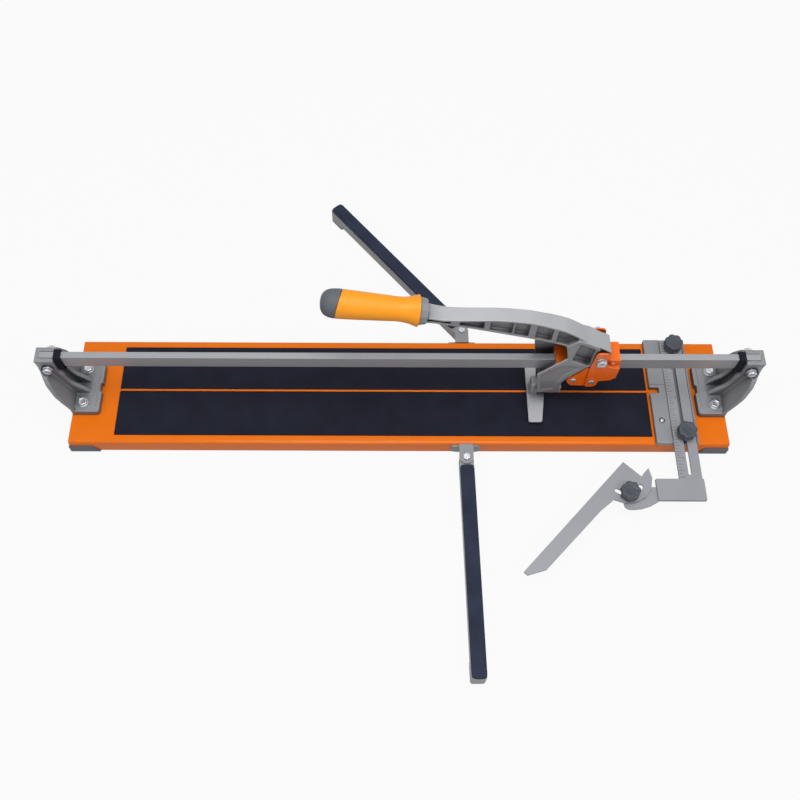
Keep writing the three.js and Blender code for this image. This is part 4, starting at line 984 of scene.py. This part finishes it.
@dataclass
class SideArms:
    """The two swinging supports with their clevises and bolts.

    Args:
        shop: where pieces are fitted.
        sheet: rounding of the pressed sheet's edges.
        foam: rounding of the foam strips.
        plug: rounding of the end plugs.
        head: rounding of the bolts' heads.
    """

    shop: Workshop
    sheet: float = 0.45
    foam: float = 1.1
    plug: float = 0.8
    head: float = 0.3

    def build(self) -> None:
        """Makes both arms."""
        for side in ("front", "rear"):
            self.shop.ease(f"{side}_clevis", ZINC, self.sheet)
            self.shop.ease(f"{side}_arm_channel", ZINC, self.sheet)
            strip = self.shop.ease(f"{side}_arm_foam", ARM_FOAM, self.foam, 3)
            self.shop.ease(f"{side}_arm_foot", GREY_PLASTIC, self.plug)
            self.shop.ease(f"{side}_arm_bolt", BOLT_STEEL, self.head)


# ---- Carriage ------------------------------------------------------------------------------------


@dataclass
class Carriage:
    """The pressed housing that rolls along the rail, with its bearings and axles.

    Args:
        shop: where pieces are fitted.
        press: rounding of the housing's edges.
        cheek: rounding of the cheeks' edges.
        guide: rounding of the nylon guide's edges.
        lower_axle: radius of the two lower axles.
        upper_axle: radius of the upper axle.
        pivot: sizes of the bolt that the lever turns on, without its head's height.
        locknut: height of its nut's flats.
        locknut_washer: radii of the hole and the rim of the nut's washer.
    """

    shop: Workshop
    press: float = 1.3
    cheek: float = 0.9
    guide: float = 0.5
    lower_axle: float = 4.0
    upper_axle: float = 2.5
    pivot: BoltSize = BoltSize(across=13.0, head=0.0, washer=7.6, shank=4.0)
    locknut: float = 6.5
    locknut_washer: tuple[float, float] = (4.2, 8.4)

    def bearing(self, node: str) -> bpy.types.Object:
        """Turns a sealed ball bearing with its two rings and a shield between them.

        Args:
            node: the node that it stands for.

        Returns:
            The bearing.
        """
        low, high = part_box(node)
        radius, width = (high.x - low.x) / 2 / MM, (high.y - low.y) / MM
        bore, inner, outer, dip, edge = radius * 0.36, radius * 0.56, radius * 0.82, 0.35, 0.3
        face = [(bore + edge, 0), (inner, 0), (inner, dip), (outer, dip), (outer, 0), (radius - 0.5, 0),
                (radius, 0.5)]
        far = [(r, width - z) for r, z in reversed(face)]
        profile = [(bore, edge)] + face + far + [(bore, width - edge)]
        return turned(f"{node}_made", profile, cross_seat(node), 72)

    def axle(self, node: str, radius: float) -> bpy.types.Object:
        """Turns an axle with its two riveted ends and the spacers that keep its bearing in the middle.

        Args:
            node: the node that it stands for.
            radius: of the axle.

        Returns:
            The axle.
        """
        low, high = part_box(node)
        length, middle = (high.y - low.y) / MM, -low.y / MM
        head, sink, spacer = radius + 0.7, 1.5, radius + 1.6
        spacer_from, spacer_to = middle - 8, middle - 3.7
        foot = [(0, sink), (head - 0.9, sink), (head, sink + 0.6), (head, sink + 1.7), (radius, sink + 1.8),
                (radius, spacer_from), (spacer, spacer_from), (spacer, spacer_to), (radius, spacer_to + 0.1)]
        tip = [(r, length - z if z < spacer_from - 1 else 2 * middle - z) for r, z in reversed(foot)]
        return turned(f"{node}_made", foot + tip, cross_seat(node), 40)

    def pivot_bolt(self) -> bpy.types.Object:
        """Makes the bolt that the lever turns on, its head outside the front cheek.

        Returns:
            The bolt.
        """
        low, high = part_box("lever_pivot_bolt")
        middle, face = (low + high) / 2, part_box("carriage_cheek_front")[0].y
        size = replace(self.pivot, head=(face - low.y) / MM - WASHER)
        grip = (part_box("carriage_cheek_rear")[1].y - face) / MM
        seat = Matrix.Translation(Vector((middle.x, face, middle.z))) @ FORWARDS
        return bolt("lever_pivot_bolt_made", seat, size, grip, (high.y - face) / MM - grip)

    def pivot_nut(self) -> bpy.types.Object:
        """Makes the locking nut with its washer behind the rear cheek.

        Returns:
            The nut, its washer and its collar as one piece.
        """
        low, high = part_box("lever_pivot_nut")
        middle = (low + high) / 2
        seat = Matrix.Translation(Vector((middle.x, low.y, middle.z))) @ BACKWARDS
        raised = seat @ Matrix.Translation((0, 0, WASHER * MM))
        nut = hexagon("nut", raised, self.pivot.across, self.locknut)
        top = WASHER + self.locknut - 0.2
        crown = [(0, top), (5.4, top), (5.2, top + 1.3), (4.4, top + 2), (0, top + 2)]
        plate = washer(seat, *self.locknut_washer)
        return joined("lever_pivot_nut_made", [nut, plate, turned("collar", crown, seat, 40)])

    def build(self) -> None:
        """Makes the housing, its cheeks and what turns in them."""
        self.shop.ease("carriage_housing", CARRIAGE_PAINT, self.press, 3)
        for side in ("front", "rear"):
            self.shop.ease(f"carriage_cheek_{side}", CARRIAGE_PAINT, self.cheek, 3)
        self.shop.ease("rail_guide_pad", NYLON, self.guide)
        for node in ("lower_axle_left", "lower_axle_right"):
            self.shop.fit(self.axle(node, self.lower_axle), BOLT_STEEL, node)
        self.shop.fit(self.axle("upper_axle", self.upper_axle), BOLT_STEEL, "upper_axle")
        self.shop.fit(self.pivot_bolt(), BOLT_STEEL, "lever_pivot_bolt")
        self.shop.fit(self.pivot_nut(), BOLT_STEEL, "lever_pivot_nut")
        for node in ("lower_bearing_left", "lower_bearing_right", "upper_bearing"):
            self.shop.fit(self.bearing(node), BOLT_STEEL, node)


# ---- Lever ---------------------------------------------------------------------------------------


@dataclass
class Lever:
    """The cast lever with its two-part grip, the scoring wheel and the breaker foot.

    Args:
        shop: where pieces are fitted.
        grip_from: the tip of the grip, with z above the bench.
        grip_way: the way that it points, falling towards the carriage.
        grip_radius: of the grip where it is thickest.
        cap_length: of the cap along the grip's axis.
        cap_slant: degrees that the joint behind the cap leans.
        joint_half: half the gap of that joint.
        back_half: half the width that a face of the beam's back has at least.
        back_station: distance between the places where the back is looked for.
        back_dip: a corner this far below its neighbours isn't on the back.
        back_skin: how far below the back its curve is followed in full.
        back_root: how far below the back it isn't followed any more.
        wheel_radius: of the scoring wheel.
        wheel_half: half its thickness.
        sand: size of the cells that the lever casting is made of.
        collar_sand: size of the collar's cells.
        edge: rounding of the steel and cast parts' edges.
        sole_edge: rounding of the rubber sole.
        pin_edge: rounding of the pins.
    """

    shop: Workshop
    grip_from: tuple[float, float, float] = (-106.0, 0.0, 279.0)
    grip_way: tuple[float, float, float] = (0.98823, 0.0, -0.15299)
    grip_radius: float = 19.8
    cap_length: float = 24.5
    cap_slant: float = 14.0
    joint_half: float = 0.25
    back_half: float = 6.0
    back_station: float = 2.0
    back_dip: float = 1.2
    back_skin: float = 2.0
    back_root: float = 8.0
    wheel_radius: float = 11.0
    wheel_half: float = 1.25
    sand: float = 0.95
    collar_sand: float = 0.6
    edge: float = 0.5
    sole_edge: float = 0.4
    pin_edge: float = 0.3

    def grip_seat(self) -> Matrix:
        """Returns the seat at the tip of the grip, pointing up its length."""
        return Matrix.Translation(at(*self.grip_from)) @ pointing(Vector(self.grip_way))

    def grip_profile(self, shrink: float) -> Outline:
        """Draws the grip's outline, from its round tip over the palm swell to its flare.

        Args:
            shrink: how far the outline is drawn in.

        Returns:
            Its corners, from the tip to the flare.
        """
        tip = [(0.22, 0.3), (0.45, 1.2), (0.63, 2.9), (0.78, 5.5), (0.88, 8.8), (0.95, 13), (0.985, 18)]
        palm = [(1, 24), (0.99, 34), (0.97, 45), (0.945, 56), (0.92, 66), (0.895, 77), (0.87, 88), (0.85, 95)]
        flare = [(0.84, 102), (0.845, 107), (0.862, 111), (0.892, 115), (0.935, 119), (0.995, 123),
                 (1.055, 126.6), (1.09, 128.6), (1.095, 129.4), (1.07, 130)]
        outline = [(self.grip_radius * share - shrink, height) for share, height in tip + palm + flare]
        return [(0, 0)] + outline + [(0, outline[-1][1])]

    def grip_part(self, name: str, tip: bool) -> bpy.types.Object:
        """Turns the grip and keeps the part on one side of the slanted joint.

        Args:
            name: the piece's name.
            tip: True for the cap at the tip, False for the sleeve.

        Returns:
            The part, in its place.
        """
        piece = turned(name, self.grip_profile(0.0 if tip else 0.15), Matrix.Identity(4), 96)
        gap = -self.joint_half if tip else self.joint_half
        slant = math.radians(self.cap_slant)
        with editing(piece, "VERT"):
            bpy.ops.mesh.select_all(action="SELECT")
            bpy.ops.mesh.bisect(plane_co=(0, 0, (self.cap_length + gap) * MM),
                                plane_no=(-math.sin(slant), 0, math.cos(slant)), use_fill=True,
                                clear_outer=tip, clear_inner=not tip)
        bevelled(piece, 0.6, 3, 50)
        piece.data.transform(self.grip_seat())
        smooth(piece, 40)
        return piece

    def back_line(self) -> list[Point]:
        """Follows the beam's back from the grip to the yoke.

        Returns:
            Its corners, as X and Z in metres.
        """
        shape = copied("lever_casting")
        half, station = self.back_half * MM, self.back_station * MM
        highest: dict[int, Point] = {}
        for face in shape.data.polygons:
            corners = [shape.data.vertices[i].co for i in face.vertices]
            wide = max(c.y for c in corners) > half and min(c.y for c in corners) < -half
            if face.normal.z < 0.4 or not wide:
                continue
            for corner in corners:
                place = round(corner.x / station)
                if corner.z > highest.get(place, (0.0, -1.0))[1]:
                    highest[place] = (corner.x, corner.z)
        bpy.data.objects.remove(shape)
        line = [highest[place] for place in sorted(highest)]
        while True:
            dips = [self.dip(*line[i - 1:i + 2]) for i in range(1, len(line) - 1)]
            if max(dips) < self.back_dip * MM:
                return line
            del line[dips.index(max(dips)) + 1]

    def dip(self, before: Point, corner: Point, after: Point) -> float:
        """Measures how far a corner of the back lies below the line between its neighbours.

        Args:
            before: the corner before it.
            corner: the corner.
            after: the corner after it.

        Returns:
            The depth in metres, below 0 where the corner stands proud.
        """
        share = (corner[0] - before[0]) / (after[0] - before[0])
        return before[1] + (after[1] - before[1]) * share - corner[1]

    def curve_back(self, piece: bpy.types.Object) -> None:
        """Turns the straight stretches of the beam's back into one smooth curve.

        Args:
            piece: the lever casting, in fine facets.
        """
        line = self.back_line()
        spans = [(b[1] - a[1]) / (b[0] - a[0]) for a, b in zip(line, line[1:])]
        slopes = [spans[0]] + [(a + b) / 2 for a, b in zip(spans, spans[1:])] + [spans[-1]]
        for vertex in piece.data.vertices:
            x = vertex.co.x
            if not line[0][0] <= x < line[-1][0]:
                continue
            i = max(k for k in range(len(line) - 1) if line[k][0] <= x)
            (x0, z0), (x1, z1) = line[i], line[i + 1]
            run, t = x1 - x0, (x - x0) / (x1 - x0)
            near, far = slopes[i] - spans[i], slopes[i + 1] - spans[i]
            bow = run * (t * (1 - t) ** 2 * near - t * t * (1 - t) * far)
            depth = (z0 + (z1 - z0) * t - vertex.co.z) / MM
            share = (self.back_root - depth) / (self.back_root - self.back_skin)
            vertex.co.z += bow * min(1.0, max(0.0, share))

    def wheel(self) -> bpy.types.Object:
        """Turns the scoring wheel with its ground edge.

        Returns:
            The wheel.
        """
        r, half, ground, bore = self.wheel_radius, self.wheel_half, 0.12, 2.6
        side = [(bore, 0.0), (r * 0.74, 0.0), (r * 0.8, ground), (r - 0.15, half - ground), (r, half)]
        profile = side + [(radius, 2 * half - height) for radius, height in reversed(side[:-1])]
        return turned("scoring_wheel_made", profile, cross_seat("scoring_wheel"), 96)

    def build(self) -> None:
        """Makes the lever from the grip down to the wheel."""
        casting = cast("lever_casting", self.sand, 2, 0.7)
        self.curve_back(casting)
        # marked for the painted shade on its side faces
        self.shop.fit(marked(casting), LEVER_METAL, "lever_casting")
        self.shop.fit(self.grip_part("grip_cap_made", True), GREY_PLASTIC, "grip_cap")
        self.shop.fit(self.grip_part("grip_sleeve_made", False), GRIP_ORANGE, "grip_sleeve")
        self.shop.fit(cast("grip_collar", self.collar_sand), CAST_METAL, "grip_collar")
        self.shop.ease("wheel_holder", DARK_STEEL, self.edge)
        self.shop.ease("wheel_axle", BOLT_STEEL, self.pin_edge)
        self.shop.fit(self.wheel(), BOLT_STEEL, "scoring_wheel")
        self.shop.ease("breaker_foot", LEVER_METAL, self.edge)
        self.shop.ease("breaker_sole", PAD_RUBBER, self.sole_edge)
        self.shop.ease("breaker_pin", BOLT_STEEL, self.pin_edge)


# ---- Fence, ruler and angle stop -----------------------------------------------------------------


@dataclass
class Knob:
    """A moulded star knob on its stud.

    Args:
        shop: where pieces are fitted.
        node: the node that it stands for.
        lobes: how many lobes.
        steps: corners around each lobe.
        radius: to the tip of a lobe.
        waist: how far the hollows between lobes come in.
        height: of the lobed head at its rim.
        rim: width and rise of the slope inside the rim.
        dish: width and depth of the hollow inside that.
        edge: rounding of the rim.
        stem: radius of the neck below.
        stud: radius of the steel stud under the neck.
    """

    shop: Workshop
    node: str
    lobes: int = 7
    steps: int = 16
    radius: float = 14.0
    waist: float = 2.0
    height: float = 12.0
    rim: tuple[float, float] = (2.2, 0.5)
    dish: tuple[float, float] = (2.6, -0.9)
    edge: float = 1.0
    stem: float = 5.0
    stud: float = 2.1

    def head(self, foot: Vector) -> bpy.types.Object:
        """Raises the lobed head from its outline.

        Args:
            foot: the middle of its underside.

        Returns:
            The head.
        """
        count = self.lobes * self.steps
        points = []
        for i in range(count):
            turn = math.tau * i / count
            wave = abs(math.cos(self.lobes * turn / 2))
            radius = self.radius - self.waist * (1 - wave ** 0.8)
            points.append(foot + Vector((math.cos(turn), math.sin(turn), 0)) * radius * MM)
        piece = blank(f"{self.node}_made", points, [], [list(range(count))])
        with editing(piece):
            bpy.ops.mesh.select_all(action="SELECT")
            bpy.ops.mesh.extrude_region_move(TRANSFORM_OT_translate={"value": (0, 0, self.height * MM)})
            for width, rise in (self.rim, self.dish):
                bpy.ops.mesh.inset(thickness=width * MM)
                bpy.ops.transform.translate(value=(0, 0, rise * MM))
            bpy.ops.mesh.select_all(action="SELECT")
            bpy.ops.mesh.normals_make_consistent(inside=False)
        bevelled(piece, self.edge, 3, 50)
        smooth(piece, 45)
        return piece

    def build(self) -> None:
        """Makes the head and the neck with its stud."""
        low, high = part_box(self.node)
        middle = (low + high) / 2
        foot = Vector((middle.x, middle.y, high.z - (self.height + self.rim[1]) * MM))
        head = self.head(foot)
        rise = (foot.z - low.z) / MM
        bare, chamfer = rise * 0.35, 0.4
        profile = [(0, 0), (self.stud - chamfer, 0), (self.stud, chamfer), (self.stud, bare),
                   (self.stem, bare + 0.2), (self.stem, rise + 1), (0, rise + 1)]
        seat = Matrix.Translation(Vector((middle.x, middle.y, low.z)))
        neck = turned(f"{self.node}_stem", profile, seat, 40)
        self.shop.fit(head, KNOB_PLASTIC, self.node)
        self.shop.fit(neck, KNOB_PLASTIC, self.node, stands_for=False)


@dataclass
class Measuring:
    """The cast fence with its ruler, the swinging angle stop and their knobs.

    Args:
        shop: where pieces are fitted.
        mark: width of a mark.
        mark_step: distance between marks.
        long_mark: length of each second mark.
        short_mark: length of the others.
        mark_margin: from the ruler's edge to the marks.
        mark_ends: plain ruler before the first mark and after the last.
        figure_every: marks from one number to the next.
        figure_size: height of the numbers' type.
        figure_shift: from the end of a long mark to its number, and from its middle down to it.
        ink: thickness of the ink on the ruler.
        index_at: place of the index line along Y.
        index_width: width of the index line.
        index_gap: from the index line to the ruler.
        screw_at: the fence's screws, with both signs of y and with z above the bench.
        sand: size of the cells that the fence is made of.
        edge: rounding of the ruler's and the arm's edges.
        head_edge: rounding of the ruler head's edges.
    """

    shop: Workshop
    mark: float = 0.5
    mark_step: float = 5.0
    long_mark: float = 7.5
    short_mark: float = 4.5
    mark_margin: float = 1.2
    mark_ends: tuple[float, float] = (14.0, 4.0)
    figure_every: int = 10
    figure_size: float = 4.4
    figure_shift: tuple[float, float] = (0.8, 1.6)
    ink: float = 0.04
    index_at: float = 9.4
    index_width: float = 0.5
    index_gap: float = 1.5
    screw_at: tuple[float, float, float] = (394.8, 50.2, 34.0)
    sand: float = 0.95
    edge: float = 0.5
    head_edge: float = 0.6

    def number(self, value: int, place: Vector) -> bpy.types.Object:
        """Sets one number of the scale, read from the front.

        Args:
            value: the number.
            place: its left foot.

        Returns:
            The number as a piece.
        """
        for other in bpy.context.selected_objects:
            other.select_set(False)
        bpy.ops.object.text_add()
        text = bpy.context.object.data
        text.body = str(value)
        text.size = self.figure_size * MM
        text.extrude = self.ink * MM
        bpy.ops.object.convert(target="MESH")
        figure = bpy.context.object
        figure.data.transform(Matrix.Translation(place))
        return figure

    def scale(self) -> bpy.types.Object:
        """Prints the ruler's marks and their numbers, which count centimetres.

        Returns:
            All of them as one piece.
        """
        low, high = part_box("ruler_bar")
        start, stop = low.y + self.mark_ends[0] * MM, high.y - self.mark_ends[1] * MM
        step, half = self.mark_step * MM, self.mark / 2 * MM
        edge = low.x + self.mark_margin * MM
        right, down = (shift * MM for shift in self.figure_shift)
        strips, figures = [], []
        for i in range(int((stop - start) / step) + 1):
            y = start + i * step
            end = edge + (self.short_mark if i % 2 else self.long_mark) * MM
            strips.append((edge, end, y - half, y + half))
            if i and i % self.figure_every == 0:
                figures.append(self.number(i // 2, Vector((end + right, y - down, high.z))))
        return joined("ruler_marks", [printed("ruler_marks", strips, high.z, self.ink)] + figures)

    def index_line(self) -> bpy.types.Object:
        """Draws the fine line across the fence that the scale is read against.

        Returns:
            The line.
        """
        low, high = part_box("fence_guide")
        y, half = self.index_at * MM, self.index_width / 2 * MM
        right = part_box("ruler_bar")[0].x - self.index_gap * MM
        return printed("fence_index", [(low.x + 1 * MM, right, y - half, y + half)], high.z, 0.03)

    def screw(self, side: int, name: str) -> bpy.types.Object:
        """Turns one of the fence's socket screws.

        Args:
            side: -1 for the front one, 1 for the rear one.
            name: the piece's name.

        Returns:
            The screw.
        """
        x, y, floor = self.screw_at
        radius, rim, socket = 2.9, 2.1, 1.4
        profile = [(0, 0), (radius, 0), (radius, rim - 0.9), (radius - 0.4, rim - 0.3), (socket + 0.1, rim),
                   (socket, rim - 0.8), (0, rim - 0.8)]
        return turned(name, profile, Matrix.Translation(at(x, side * y, floor)), 32)

    def build(self) -> None:
        """Makes the fence and all that slides or swings on it."""
        self.shop.fit(cast("fence_guide", self.sand, 2), CAST_METAL, "fence_guide")
        self.shop.ease("ruler_bar", RULER_METAL, self.edge)
        self.shop.ease("ruler_head", RULER_METAL, self.head_edge)
        self.shop.ease("angle_arm", RULER_METAL, self.edge)
        self.shop.fit(self.scale(), MARK_INK, "ruler_bar", stands_for=False)
        self.shop.fit(self.index_line(), MARK_INK, "fence_guide", stands_for=False)
        for name, side in (("front", -1), ("rear", 1)):
            screw = self.screw(side, f"fence_screw_{name}")
            self.shop.fit(screw, BOLT_STEEL, "fence_guide", stands_for=False)
        for node in ("ruler_knob_rear", "ruler_knob_front", "angle_knob"):
            Knob(self.shop, node).build()


def main() -> None:
    """Builds the studio and every piece, in order."""
    logging.basicConfig(level=logging.INFO, format="%(message)s")
    Studio().build()
    shop = Workshop()
    for assembly in (Bed, RailAndBrackets, SideArms, Carriage, Lever, Measuring):
        assembly(shop).build()


if __name__ == "__main__":
    main()
